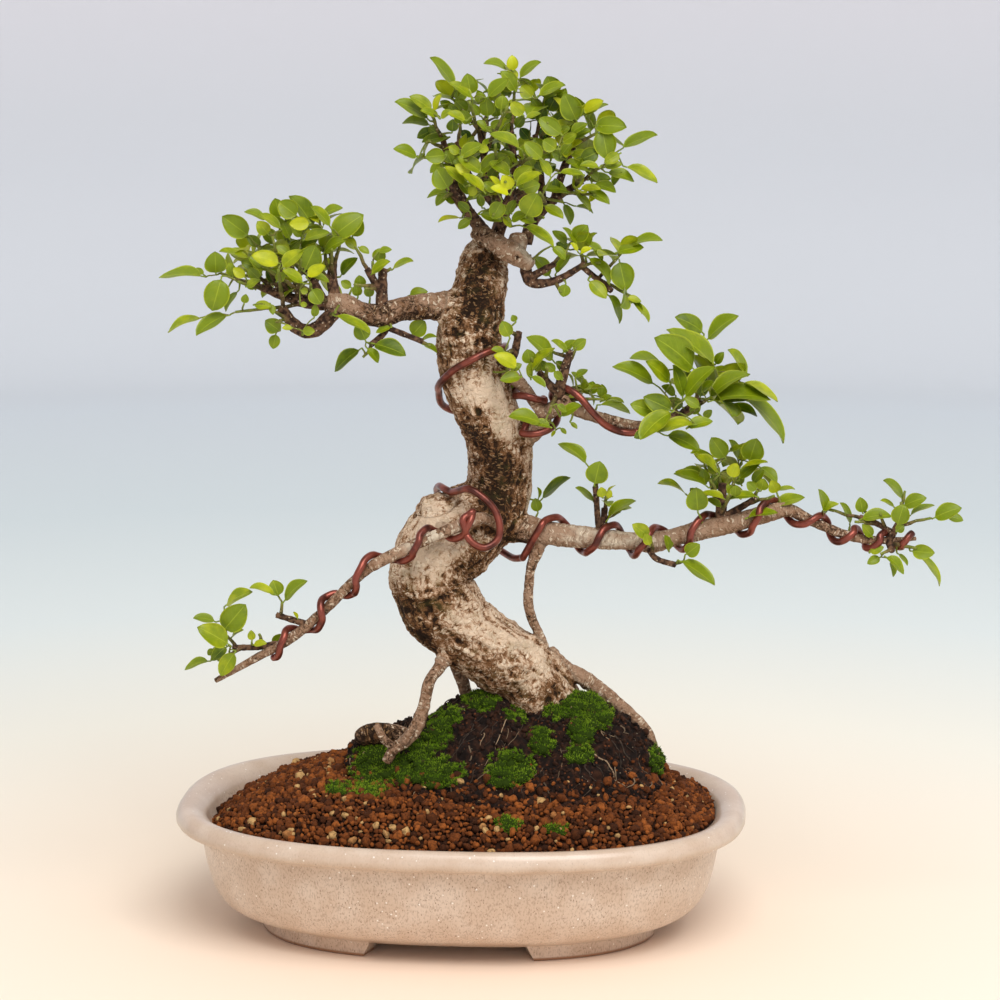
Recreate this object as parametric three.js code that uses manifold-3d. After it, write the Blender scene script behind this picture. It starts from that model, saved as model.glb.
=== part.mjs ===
// A kimmen ficus bonsai: a curved trunk with a crown and four wired or free branches, its roots gripping
// a mound of old root ball that stands in coarse soil in an oval glazed pot.
//
// Millimetres, +Z up. Everything is laid out about the middle of the pot's base as the front of the tree
// is seen, with the pot's long side turned a little to that view. The finished group is turned so that
// the pot's long side lies along X, and moved so that the origin is on the ground under the whole tree.

import * as THREE from "three";
import { mergeVertices } from "three/addons/utils/BufferGeometryUtils.js";
import Module from "manifold-3d";

const wasm = await Module();
wasm.setup();

// Driving dimensions

const GAP = 0.35; // between two solids that touch on the real plant

const POT = {
  halfLength: 149,
  halfDepth: 106,
  squareness: 2.5, // exponent of the oval in plan: 2 is an ellipse
  sideStep: 0.78, // how far the long sides move in for each millimetre that the ends move in
  turn: 5, // degrees between the front view and the pot's short axis
  sectors: 28,
  // [step in from the end of the lip, height]
  outside: [
    [42, 8], [27, 14], [20, 22], [16, 34], [12, 53], [7, 54.5], [1, 57], [0, 60.5], [2, 64.5],
    [5.5, 66], [10, 65.3],
  ],
  inside: [[15, 62], [19, 50], [23, 30], [38, 15]],
};

const FEET = {
  outer: [105, 73],
  inner: [92, 60],
  height: 8.5,
  gapFoot: 44, // half the long gap between two feet, where they stand
  gapTop: 39.5,
  endGap: 23, // half the gap between the feet at each end of the pot
};

const DRAIN = { x: 60, radius: 11, sides: 12, meshSide: 32, meshThickness: 1, opening: 9, pitch: 13 };

const SOIL = {
  edge: 56, // height at the wall
  edgeTilt: 6, // how much higher the wall line is at the +X end
  crown: 85,
  heap: 3.5, // exponent of the heap: higher is flatter in the middle and steeper at the wall
  shares: [0.92, 0.84, 0.75, 0.65, 0.5, 0.25], // of the way out to the wall, for each ring
  grain: 1.5, // how far the grains stand above or below the heap
};

const WIRE = {
  radius: 1.9,
  sides: 5,
  stepsPerTurn: 6,
  barkSwell: 1.1, // how much fatter than its knots the bark may be
  clear: 1.3, // from the bark to the wire, which leaves room for its flat sides
};

const TWIG = { thick: 1.3, thin: 0.8, inset: 2, apart: 4 }; // radii, and the spacing of twigs on a limb
const SHOOT = { leafy: 6, rise: 0.35 };

const LEAF = {
  kept: 0.5, // share of each shoot's leaves that stand in the solids, the largest first
  crossing: 0.2, // cubic millimetres that two blades may share before one of them is left out
  goldenTurn: 137.5,
  lowLift: 12,
  highLift: 62,
  halfWidth: 0.27, // of the length
  halfThickness: 0.65,
  cup: 0.22,
};

// The trunk and its limbs. Each knot is [x, y, z, radius].

const TRUNK = [
  [58, 9, 90, 20], [50, 8, 101, 20.5], [38, 6, 122, 19.5], [25, 2, 137, 19], [13, -2, 148, 18.5],
  [-1, -5, 158, 19], [-11, -6, 170, 20], [-16, -6, 182, 20.5], [-14, -4, 194, 21.5], [-6, 0, 204, 22.5],
  [6, 4, 212, 21.5], [15, 6, 221, 19], [19, 6, 231, 16.5], [20, 5, 246, 16], [16, 1, 263, 16],
  [10, -2, 277, 15.5], [5, -4, 292, 15.2], [4, -3, 309, 16], [7, -1, 322, 14.5], [12, 5, 346, 12],
  [15, 7, 357, 8.5], [16, 8, 362, 5],
];

const WOOD = {
  cutLobe: [[-6, 0, 203, 18.5], [-10, -2, 216, 13.5], [-12, -2, 225, 6.5]],
  crownKnob: [[15, 4, 355, 7], [23, -4, 354, 6], [31, -8, 352, 6], [35, -6, 356, 6], [34, -4, 362, 4.5]],
  leftBranch: [
    [6, -1, 328, 8], [-8, -4, 326, 7], [-18, -8, 326, 6.5], [-30, -12, 325, 6], [-40, -16, 322, 6],
    [-50, -18, 324, 5.5], [-58, -18, 328, 5.5], [-67, -18, 330, 4.5],
  ],
  upperRight: [
    [18, 3, 254, 8], [31, 1, 258, 6.5], [40, -2, 263, 5], [44, -5, 271, 4.5], [53, -8, 275, 4],
    [63, -8, 271, 3.5], [78, -9, 267, 3], [93, -11, 265, 2.5], [112, -13, 271, 2],
  ],
  upperRightSecond: [
    [14, -2, 295, 4], [24, -5, 291, 3.5], [32, -8, 285, 3], [37, -9, 278, 3], [43, -8, 269, 2.5],
  ],
  rightBranch: [
    [19, 1, 211, 8.5], [36, -2, 209, 7], [54, -6, 207, 6], [72, -9, 206, 5.5], [87, -11, 205, 5],
    [100, -13, 205, 5], [114, -15, 209, 5], [140, -18, 216, 5], [161, -20, 222, 4], [168, -20, 223, 3.5],
    [174, -20, 220, 3], [184, -20, 215, 2.5], [200, -20, 209, 2.5], [216, -20, 207, 2], [233, -20, 208, 1],
  ],
  lowLeft: [
    [20, -6, 208, 4], [17, -17, 215, 3.5], [11, -25, 219, 3.5], [4, -29, 218, 3.5], [-10, -33, 213, 3],
    [-25, -36, 207, 3], [-40, -39, 200, 3], [-48, -40, 195, 2.5], [-56, -41, 188, 2.5],
    [-70, -42, 174, 2.5], [-86, -44, 161, 2.5], [-104, -46, 151, 2], [-124, -48, 140, 1.3],
  ],
  aerialRight: [
    [42, -3, 206, 4], [39, -5, 198, 3.5], [36, -6, 189, 2.5], [35, -6, 178, 2.5], [35, -5, 170, 2.5],
    [37, -4, 162, 2.5], [40, -2, 155, 2.5], [43, 2, 145, 3],
  ],
  rootLeft: [
    [-5, -8, 152, 6], [-10, -20, 142, 4], [-12, -24, 134, 3.5], [-15, -27, 125, 3.5], [-17, -29, 119, 4],
    [-21, -31, 113, 4.5], [-26, -32, 107, 4], [-33, -32, 101, 4], [-37, -33, 92, 3],
  ],
  rootLeftFork: [
    [-20, -30, 114, 4], [-31, -27, 112, 4], [-42, -23, 110, 4.5], [-49, -20, 104, 4.5],
    [-52, -18, 94, 4],
  ],
  rootLeftBack: [[-5, 6, 143, 5], [-2, 10, 132, 3.5], [1, 12, 124, 3.5], [4, 14, 112, 3.5]],
  rootRight: [
    [44, 4, 141, 7], [53, 5, 134, 5], [64, 6, 128, 4.5], [75, 6, 120, 4], [84, 5, 113, 4],
    [92, 4, 106, 3.5], [98, 3, 99, 3], [102, 2, 88, 2.5],
  ],
  rootBack: [[46, 14, 120, 12], [36, 34, 113, 6], [28, 46, 102, 4], [24, 54, 90, 3]],
};

// The mound of old root ball: [x, half depth, crest height] of its sections

const MOUND = {
  y: -2,
  base: 70,
  skirt: 1, // how far the sides go straight down below the base
  slope: 1.7,
  lump: 1.6,
  sections: [
    [-60, 22, 86], [-55, 36, 99], [-34, 53, 105], [-12, 63, 111], [4, 67, 121], [30, 68, 125],
    [58, 64, 122], [76, 57, 116], [94, 42, 102], [106, 20, 82],
  ],
  points: 8,
};

// Cushions of moss as lumpy runs of knots [x, y, z, radius]

const MOSS = {
  moss_left: [
    [[-53, -32, 93, 8], [-42, -42, 94, 13], [-22, -50, 93, 14], [-4, -56, 92, 9]],
    [[-24, -46, 97, 10], [-12, -34, 107, 12], [-2, -26, 114, 8]],
  ],
  moss_right: [[[50, -8, 122, 9], [60, -18, 118, 13], [66, -30, 109, 11], [61, -44, 100, 7]]],
  moss_front: [[[12, -58, 91, 6], [20, -56, 94, 10], [32, -56, 93, 10], [40, -58, 89, 6]]],
};

// Wires

const LOW_WIRE = {
  // x where each turn crosses the front of its branch, from the outer end in, then from the trunk out
  leftCrossings: [-90.5, -70.5, -52.5, -22.5, 3],
  rightCrossings: [40, 71.5, 94.5, 118, 152, 178.5, 197.5, 213, 227.5],
  // from the hook over the low branch, round a loose loop, over the shoulder and behind the trunk
  route: [
    [6, -33, 224], [2, -32, 219], [3, -34, 213], [7, -35, 208], [13, -34, 206], [19, -32, 210],
    [20, -30, 217], [17, -28, 225], [11, -27, 231], [3, -23, 234], [-4, -14, 235], [-9, -2, 233],
    [-10, 10, 225], [-4, 23, 214], [5, 29, 206], [14, 26, 198], [22, 15, 194], [28, 4, 193],
    [34, -6, 196],
  ],
};

const HIGH_WIRE = {
  route: [
    [23, 5, 304], [20, -8, 305], [13, -17, 304], [5, -21, 300], [-3, -20, 295], [-8, -14, 289],
    [-11, -4, 282], [-10, 6, 274], [-4, 15, 269], [4, 20, 268], [13, 21, 272], [20, 16, 279],
    [26, 5, 284], [27, -5, 280], [31, -14, 281], [37, -16, 280], [42, -10, 277], [43, 2, 270],
    [39, 7, 267], [32, 3, 267], [29, -7, 262], [35, -13, 261], [42, -13, 262], [48, -8, 265],
    [50, 1, 271], [47, 3, 278], [49, -5, 284], [55, -12, 284], [61, -15, 280], [67, -16, 273],
    [74, -15, 266], [83, -13, 262], [91, -14, 263],
  ],
};

// The sprays: woody limbs as knots [x, y, z, radius], and shoots as [x, y, z, leaves, leaf length]

const SPRAYS = {
  spray_crown_front: {
    limbs: [
      [[17, 2, 356, 4.5], [4, -8, 374, 3.5], [-7, -13, 388, 1.8]],
      [[5, -6, 373, 3], [-3, -4, 389, 2.5], [-9, -2, 411, 1.7]],
      [[18, 3, 358, 4], [23, -6, 374, 3], [27, -9, 392, 2.3], [26, -5, 414, 1.7]],
      [[23, -5, 373, 3], [14, -14, 392, 2.3], [10, -8, 416, 1.7]],
    ],
    shoots: [
      [-15, -15, 425, 5, 22], [-16, -10, 410, 5, 19], [-22, 5, 401, 4, 18], [-4, -5, 431, 5, 22],
      [5, -25, 430, 5, 18], [15, 10, 430, 5, 19], [28, 0, 439, 6, 18], [3, -38, 402, 6, 19],
      [-10, -25, 396, 5, 19], [5, -45, 390, 6, 18], [23, -48, 392, 7, 18], [17, -40, 375, 4, 18],
      [36, -44, 404, 5, 18],
    ],
  },
  spray_crown_side: {
    limbs: [
      [[33, -5, 358, 4], [37, -4, 369, 3.5], [48, -2, 380, 2.5], [62, 0, 389, 1.8]],
      [[42, -3, 373, 2.5], [41, 7, 390, 2.2], [38, 6, 412, 1.7]],
      [[47, -2, 378, 2.3], [53, 3, 396, 2.2], [60, 4, 412, 1.7]],
    ],
    shoots: [
      [43, 5, 431, 6, 19], [44, -28, 420, 5, 20], [58, -5, 422, 5, 21], [70, 10, 413, 5, 22],
      [73, -10, 398, 6, 22], [62, -30, 394, 5, 19], [40, -38, 386, 5, 20], [42, -30, 373, 5, 20],
      [68, -12, 383, 5, 19],
    ],
  },
  spray_crown_back: {
    limbs: [
      [[17, 8, 357, 4], [20, 24, 370, 3], [17, 33, 396, 2]],
      [[21, 22, 368, 2.5], [35, 32, 385, 2.3], [45, 34, 405, 2]],
      [[19, 25, 373, 2.5], [4, 30, 390, 2.3], [-2, 28, 407, 1.8]],
    ],
    shoots: [
      [0, 32, 421, 5, 20], [20, 30, 430, 5, 19], [38, 36, 431, 5, 19], [66, 34, 407, 5, 20],
      [53, 46, 390, 5, 19], [28, 52, 401, 5, 19], [-13, 30, 394, 4, 19],
    ],
  },
  spray_crown_right: {
    limbs: [
      [[33, -8, 352, 3.5], [35, -9, 339, 3], [48, -9, 339, 2.3], [64, -9, 348, 1.7]],
      [[36, -9, 341, 2.5], [48, -11, 348, 1.8]],
      [[61, -9, 347, 1.7], [77, -11, 334, 1.7]],
    ],
    shoots: [
      [54, -14, 355, 5, 20], [62, -2, 354, 6, 18], [71, -14, 349, 4, 19], [72, -12, 336, 4, 18],
      [82, -6, 353, 4, 20], [87, -8, 331, 4, 19], [51, -14, 334, 2, 13],
    ],
  },
  spray_left: {
    limbs: [
      [[-58, -18, 328, 4.8], [-81, -18, 330, 3.5], [-104, -18, 338, 1.7]],
      [[-62, -19, 326, 3.6], [-73, -24, 316, 2.6], [-82, -24, 316, 2.5], [-89, -24, 327, 2]],
      [[-63, -17, 330, 3.6], [-65, -12, 341, 3], [-64, -10, 350, 2]],
      [[-69, -16, 329, 3], [-80, -2, 348, 2]],
      [[-67, -16, 329, 3], [-78, 6, 331, 2.5], [-91, 16, 334, 2]],
    ],
    shoots: [
      [-121, -18, 344, 5, 23], [-111, -32, 341, 5, 13], [-109, -8, 349, 4, 19], [-102, -15, 357, 5, 22],
      [-94, -24, 363, 5, 16], [-81, 2, 363, 5, 21], [-71, -5, 367, 4, 20], [-60, -15, 361, 4, 25],
      [-64, -28, 357, 5, 19], [-79, -38, 353, 6, 21], [-90, -42, 348, 5, 20], [-74, -42, 341, 5, 17],
      [-113, -25, 325, 4, 22], [-92, -34, 321, 5, 16], [-62, -36, 326, 4, 20], [-109, 18, 351, 5, 19],
      [-78, 25, 354, 5, 19], [-116, 12, 341, 4, 18],
    ],
  },
  spray_left_inner: {
    limbs: [
      [[-40, -16, 323, 3.8], [-39, -17, 346, 2.5]],
      [[-40, -17, 334, 2.5], [-47, -17, 346, 2]],
    ],
    shoots: [
      [-53, -14, 357, 5, 11], [-44, -19, 350, 5, 13], [-35, -14, 346, 3, 13], [-53, -26, 339, 4, 12],
    ],
  },
  spray_left_under: {
    rise: -0.3,
    limbs: [
      [[-36, -15, 321, 2], [-38, -17, 314, 1.7], [-45, -21, 308, 1.7]],
      [[-37, -16, 316, 1.7], [-19, -17, 309, 1.7]],
    ],
    shoots: [[-49, -24, 302, 4, 22], [-15, -18, 307, 4, 12]],
  },
  spray_trunk_side: {
    limbs: [[[14, -6, 296, 3.4], [26, -7, 299, 2.6], [30, -8, 313, 2]]],
    shoots: [[23, -14, 315, 4, 13], [22, -22, 304, 4, 16], [24, -24, 293, 3, 16]],
  },
  spray_upper_right_inner: {
    limbs: [
      [[50, -7, 274, 3.8], [51, -12, 286, 3.4], [56, -13, 304, 2]],
      [[50, -11, 281, 2.6], [40, -14, 293, 2]],
    ],
    shoots: [
      [36, -18, 301, 5, 18], [47, -10, 303, 4, 16], [60, -10, 306, 4, 13], [44, -26, 297, 4, 12],
      [66, -5, 283, 5, 12], [73, -14, 279, 4, 17], [58, 6, 282, 3, 14], [45, -28, 274, 2, 22],
    ],
  },
  spray_upper_right_end: {
    limbs: [[[106, -12, 268, 2.4], [117, -13, 273, 2.3], [122, -13, 279, 2]]],
    shoots: [
      [106, -26, 280, 6, 30], [122, -14, 287, 7, 34], [131, -6, 281, 6, 34], [117, -28, 274, 5, 25],
      [124, 10, 279, 5, 30],
    ],
  },
  spray_right_inner: {
    limbs: [
      [[73, -9, 207, 2.4], [74, -10, 222, 1.8]],
      [[71, -10, 210, 1.8], [69, -15, 234, 1.7]],
    ],
    shoots: [[70, -15, 239, 4, 20], [75, -8, 229, 4, 10], [82, -8, 220, 2, 16]],
  },
  spray_right_hanging: {
    rise: -0.1,
    limbs: [[[96, -13, 203, 2], [100, -22, 198, 1.7], [110, -24, 195, 1.7]]],
    shoots: [[97, -25, 210, 4, 13], [114, -24, 197, 3, 19]],
  },
  spray_right_middle: {
    limbs: [
      [[133, -17, 213, 4], [134, -17, 236, 2.3]],
      [[134, -17, 218, 2.5], [151, -20, 229, 1.7]],
    ],
    shoots: [
      [122, -22, 231, 4, 22], [127, -24, 239, 6, 17], [132, -15, 244, 6, 19], [142, -12, 240, 6, 17],
      [136, -32, 233, 5, 14], [126, 0, 242, 5, 18], [145, 2, 244, 5, 22], [154, -15, 235, 6, 13],
      [160, -24, 231, 4, 19],
    ],
  },
  spray_right_tip: {
    limbs: [
      [[219, -20, 206.5, 2.6], [224, -21, 217, 1.7], [226, -20, 224, 1.7]],
      [[221, -20, 211, 1.8], [212, -19, 216, 1.7], [204, -20, 219, 1.7]],
      [[219, -20, 206.5, 2.2], [220, -27, 203, 1.7]],
    ],
    shoots: [
      [187, -17, 223, 3, 14], [206, -12, 224, 4, 13], [201, -27, 218, 5, 13], [214, -24, 222, 4, 18],
      [225, -20, 227, 6, 18], [228, -11, 231, 4, 17], [240, -22, 219, 4, 21], [214, -30, 202, 5, 14],
      [233, -26, 204, 4, 22],
    ],
  },
  spray_low_left_tip: {
    limbs: [
      [[-92, -44, 158, 2.2], [-104, -44, 156.5, 1.8], [-115, -47, 157, 1.7]],
    ],
    shoots: [[-118, -46, 163, 6, 23], [-122, -54, 152, 4, 19], [-102, -42, 163, 4, 9]],
  },
  spray_low_left_middle: {
    limbs: [[[-77, -43, 168, 2], [-93, -43, 173, 1.7]]],
    shoots: [[-90, -44, 180, 4, 18]],
  },
};

const LOOKS = {
  glaze: { color: 0xd6c7b8, roughness: 0.35, metalness: 0 },
  plastic: { color: 0x2b2b28, roughness: 0.7, metalness: 0 },
  soil: { color: 0x6e3a1e, roughness: 0.95, metalness: 0 },
  peat: { color: 0x2e1c12, roughness: 1, metalness: 0 },
  moss: { color: 0x4f8a1c, roughness: 1, metalness: 0 },
  bark: { color: 0x8c7860, roughness: 0.9, metalness: 0 },
  wire: { color: 0x7a3326, roughness: 0.35, metalness: 0.8 },
  foliage: { color: 0x8fb52a, roughness: 0.5, metalness: 0 },
};

const UP = new THREE.Vector3(0, 0, 1);
const radians = THREE.MathUtils.degToRad;
const range = (count) => Array.from({ length: count }, (_, i) => i);
const point = ([x, y, z]) => new THREE.Vector3(x, y, z);

// A stream of draws from 0 to 1 that repeats for the same seed.
function draws(seed) {
  let state = seed >>> 0;
  return () => {
    state = (state + 0x6d2b79f5) >>> 0;
    let mixed = Math.imul(state ^ (state >>> 15), state | 1);
    mixed ^= mixed + Math.imul(mixed ^ (mixed >>> 7), mixed | 61);
    return ((mixed ^ (mixed >>> 14)) >>> 0) / 4294967296;
  };
}

// Solids

// A closed three.js geometry as a solid that can be joined and cut.
function solidOf(geometry) {
  geometry.deleteAttribute("normal");
  geometry.deleteAttribute("uv");
  const merged = mergeVertices(geometry, 1e-4);
  return new wasm.Manifold(
    new wasm.Mesh({
      numProp: 3,
      vertProperties: merged.attributes.position.array,
      triVerts: new Uint32Array(merged.index.array),
    }),
  );
}

function solidFrom(points, faces) {
  const geometry = new THREE.BufferGeometry().setFromPoints(points);
  geometry.setIndex(faces.flat());
  return solidOf(geometry);
}

const join = (solids) => wasm.Manifold.union(solids);
const largest = (solid) => solid.decompose().reduce((a, b) => (b.volume() > a.volume() ? b : a));

// A skin over rings of points, which all have one count and run anticlockwise about the way along the
// rings. The ends are closed by a fan, or the last ring is joined to the first.
function loft(rings, ringToRing = false) {
  const count = rings[0].length;
  const points = rings.flat();
  const faces = [];
  const bands = ringToRing ? rings.length : rings.length - 1;
  for (const i of range(bands)) {
    const here = i * count;
    const next = ((i + 1) % rings.length) * count;
    for (const k of range(count)) {
      const after = (k + 1) % count;
      faces.push([here + k, here + after, next + after], [here + k, next + after, next + k]);
    }
  }
  if (!ringToRing) {
    closeEnd(points, faces, 0, count, true);
    closeEnd(points, faces, (rings.length - 1) * count, count, false);
  }
  return solidFrom(points, faces);
}

function closeEnd(points, faces, start, count, reversed) {
  const turned = (a, b, c) => (reversed ? [a, c, b] : [a, b, c]);
  if (count === 3) {
    faces.push(turned(start, start + 1, start + 2));
    return;
  }
  const middle = new THREE.Vector3();
  points.slice(start, start + count).forEach((p) => middle.addScaledVector(p, 1 / count));
  const centre = points.push(middle) - 1;
  range(count).forEach((k) => faces.push(turned(centre, start + k, start + ((k + 1) % count))));
}

// A limb's stations: points of a smooth line through its knots, each with its radius.
function stations(knots, step) {
  const line = new THREE.CatmullRomCurve3(knots.map(point));
  const last = knots.length - 1;
  const found = [];
  for (const i of range(last)) {
    const span = point(knots[i]).distanceTo(point(knots[i + 1]));
    const parts = Math.max(1, Math.round(span / step));
    for (const k of range(parts)) {
      const share = k / parts;
      const radius = THREE.MathUtils.lerp(knots[i][3], knots[i + 1][3], share);
      found.push({ at: line.getPoint((i + share) / last), radius });
    }
  }
  found.push({ at: point(knots[last]), radius: knots[last][3] });
  return found;
}

// A round limb along its knots. `grown` makes it fatter all over, for a hole that it stands in, and
// `lumps` is the share of its radius by which the bark swells and sinks.
function limb(knots, { sides, step, grown = 0, lumps = 0 }) {
  const along = stations(knots, step);
  const aside = new THREE.Vector3(0.3, -1, 0.2);
  const rings = along.map(({ at, radius }, i) => {
    const ahead = along[Math.min(i + 1, along.length - 1)].at;
    const behind = along[Math.max(i - 1, 0)].at;
    const way = ahead.clone().sub(behind).normalize();
    aside.addScaledVector(way, -aside.dot(way)).normalize();
    const across = way.clone().cross(aside);
    const end = (i === along.length - 1) - (i === 0);
    const middle = at.clone().addScaledVector(way, end * grown);
    return range(sides).map((k) => {
      const angle = (k / sides) * 2 * Math.PI;
      const swell = Math.sin(3 * angle + at.z / 9) + Math.sin(2 * angle - at.x / 7 + at.z / 23);
      const reach = radius * (1 + lumps * swell) + grown;
      return middle
        .clone()
        .addScaledVector(aside, reach * Math.cos(angle))
        .addScaledVector(across, reach * Math.sin(angle));
    });
  });
  return loft(rings);
}

// The pot

// A ring of the pot's oval, at a step in from the lip.
function ovalRing(halfLength, halfDepth, z) {
  const power = 2 / POT.squareness;
  return range(POT.sectors).map((k) => {
    const angle = (k / POT.sectors) * 2 * Math.PI;
    const x = Math.sign(Math.cos(angle)) * Math.abs(Math.cos(angle)) ** power;
    const y = Math.sign(Math.sin(angle)) * Math.abs(Math.sin(angle)) ** power;
    return new THREE.Vector3(x * halfLength, y * halfDepth, z);
  });
}

const potRing = ([inward, z]) => {
  return ovalRing(POT.halfLength - inward, POT.halfDepth - POT.sideStep * inward, z);
};

const turnPot = (solid) => solid.rotate([0, 0, -POT.turn]);

function buildPot() {
  const bowl = loft([...POT.outside, ...POT.inside].map(potRing));
  const holes = [-DRAIN.x, DRAIN.x].map(drainHole);
  return turnPot(join([bowl, buildFeet()]).subtract(join(holes)));
}

function drainHole(x) {
  const hole = new THREE.CylinderGeometry(DRAIN.radius, DRAIN.radius, 20, DRAIN.sides);
  return solidOf(hole.rotateX(Math.PI / 2).translate(x, 0, 12));
}

// A low ring under the floor, cut by a gap on each side and end into four corner feet.
function buildFeet() {
  const top = FEET.height + 4;
  const ring = loft(
    [
      ovalRing(...FEET.outer, 0),
      ovalRing(...FEET.outer, top),
      ovalRing(...FEET.inner, top),
      ovalRing(...FEET.inner, 0),
    ],
    true,
  );
  const gap = new THREE.Shape([
    new THREE.Vector2(-FEET.gapFoot, -1),
    new THREE.Vector2(FEET.gapFoot, -1),
    new THREE.Vector2(FEET.gapTop, top + 1),
    new THREE.Vector2(-FEET.gapTop, top + 1),
  ]);
  const across = 2 * POT.halfDepth;
  const longGap = new THREE.ExtrudeGeometry(gap, { depth: across, bevelEnabled: false });
  longGap.rotateX(Math.PI / 2).translate(0, across / 2, 0);
  const endGap = new THREE.BoxGeometry(2 * POT.halfLength, 2 * FEET.endGap, 2 * (top + 1));
  return ring.subtract(join([solidOf(longGap), solidOf(endGap)]));
}

// A square of mesh over a drain hole, to keep the soil in.
function buildDrainMesh(x, { grown = 0, holes = true } = {}) {
  const floor = POT.inside.at(-1)[1];
  const side = DRAIN.meshSide + 2 * grown;
  const height = DRAIN.meshThickness + 2 * grown;
  const middle = floor + GAP + DRAIN.meshThickness / 2;
  const plate = solidOf(new THREE.BoxGeometry(side, side, height).translate(x, 0, middle));
  if (!holes) return turnPot(plate);
  const openings = [-0.5, 0.5].flatMap((i) =>
    [-0.5, 0.5].map((j) => {
      const hole = new THREE.BoxGeometry(DRAIN.opening, DRAIN.opening, height + 2);
      return solidOf(hole.translate(x + i * DRAIN.pitch, j * DRAIN.pitch, middle));
    }),
  );
  return turnPot(plate.subtract(join(openings)));
}

// The soil, the mound and the moss

// The soil fills the pot to just clear of the wall. Its top is a heap of rings with a grainy relief.
function buildSoil({ shares, grain }) {
  const random = draws(11);
  const edgeInset = (z) => THREE.MathUtils.mapLinear(z, 62, 50, 15, 19) + 0.5;
  const edges = range(POT.sectors).map((k) => {
    const z = SOIL.edge + SOIL.edgeTilt * Math.cos((k / POT.sectors) * 2 * Math.PI);
    return potRing([edgeInset(z), z])[k];
  });
  const wall = [[38.8, 15 + GAP], [23.8, 30], [20.4, 46]];
  const top = shares.map((share) =>
    edges.map((edge) => {
      const heaped = edge.z + (SOIL.crown - edge.z) * (1 - share ** SOIL.heap);
      const relief = grain * (2 * random() - 1);
      return new THREE.Vector3(edge.x * share, edge.y * share, heaped + relief);
    }),
  );
  return turnPot(loft([...wall.map(potRing), edges, ...top]));
}

function buildMound(grown = 0) {
  const sections = MOUND.sections.map(([x, halfDepth, crest], i) => {
    const end = (i === MOUND.sections.length - 1) - (i === 0);
    const half = halfDepth + grown;
    const place = (y, z) => new THREE.Vector3(x + end * grown, MOUND.y + y, z);
    const arch = range(MOUND.points).map((k) => {
      const share = Math.cos((k / (MOUND.points - 1)) * Math.PI);
      const rise = (crest - MOUND.base) * (1 - Math.abs(share) ** MOUND.slope);
      const lump = MOUND.lump * Math.sin(x / 5 + 3 * k) * Math.sin((Math.PI * k) / (MOUND.points - 1));
      return place(half * share, MOUND.base + rise + lump + grown);
    });
    return [...arch, ...[-half, half].map((y) => place(y, MOUND.base - MOUND.skirt - grown))];
  });
  return loft(sections);
}

// A cushion of moss, cut to lie on what is under it and to stay above the soil.
function buildMoss(runs, under) {
  const cushions = runs.map((knots) => limb(knots, { sides: 6, step: 30, lumps: 0.05 }));
  const top = SOIL.crown + SOIL.grain + GAP;
  const soil = new THREE.BoxGeometry(2 * POT.halfLength, 2 * POT.halfDepth, 2 * top);
  return largest(join(cushions).subtract(join([under, solidOf(soil)])));
}

// The wood

function buildWood(grown = 0) {
  const trunk = limb(TRUNK, { sides: 11, step: 16, grown, lumps: 0.035 });
  const branches = Object.values(WOOD).map((knots) => {
    const thickest = Math.max(...knots.map((knot) => knot[3]));
    const sides = thickest > 10 ? 9 : thickest > 6 ? 6 : 5;
    return limb(knots, { sides, step: 14, grown, lumps: thickest > 5 ? 0.04 : 0 });
  });
  return join([trunk, ...branches]);
}

// The wires

// How far from the middle of a limb a wire on its bark runs.
const wireReach = ({ radius }) => radius * WIRE.barkSwell + WIRE.radius + WIRE.clear;

// Points of a wire wound round a branch, which crosses its front at each x of a list.
function winding(knots, crossings, { from = 0, to = 0 } = {}) {
  const along = stations(knots, 2);
  const gaps = crossings.length - 1;
  const steps = Math.round((gaps - from + to) * WIRE.stepsPerTurn);
  return range(steps + 1).map((i) => {
    const turn = from + (i / steps) * (gaps - from + to);
    const k = Math.min(Math.max(Math.floor(turn), 0), gaps - 1);
    const x = crossings[k] + (turn - k) * (crossings[k + 1] - crossings[k]);
    const off = along.map(({ at }) => Math.abs(at.x - x));
    const near = off.indexOf(Math.min(...off));
    const ahead = along[Math.min(near + 1, along.length - 1)].at;
    const way = ahead.clone().sub(along[Math.max(near - 1, 0)].at).normalize();
    const front = new THREE.Vector3(0, -1, 0).addScaledVector(way, way.y).normalize();
    const rise = front.clone().cross(way).multiplyScalar(Math.sign(way.x));
    const angle = turn * 2 * Math.PI;
    return along[near].at
      .clone()
      .addScaledVector(front, wireReach(along[near]) * Math.cos(angle))
      .addScaledVector(rise, wireReach(along[near]) * Math.sin(angle));
  });
}

// A point moved out, where it has to be, to lie on the bark of the limbs.
function onBark(place, limbs) {
  const moved = place.clone();
  for (const along of limbs) {
    const near = along.reduce((a, b) => (b.at.distanceTo(moved) < a.at.distanceTo(moved) ? b : a));
    const away = moved.clone().sub(near.at);
    const lacking = wireReach(near) - away.length();
    if (lacking > 0) moved.addScaledVector(away.normalize(), lacking);
  }
  return moved;
}

// A route laid on the bark, with a place more wherever the way between two places dips into it.
function layOn(route, limbs) {
  const placed = route.map((place) => onBark(point(place), limbs));
  return placed.flatMap((here, i) => {
    if (i === placed.length - 1) return [here];
    const middle = here.clone().lerp(placed[i + 1], 0.5);
    const lifted = onBark(middle, limbs);
    return lifted.distanceTo(middle) > WIRE.clear ? [here, lifted] : [here];
  });
}

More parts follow.
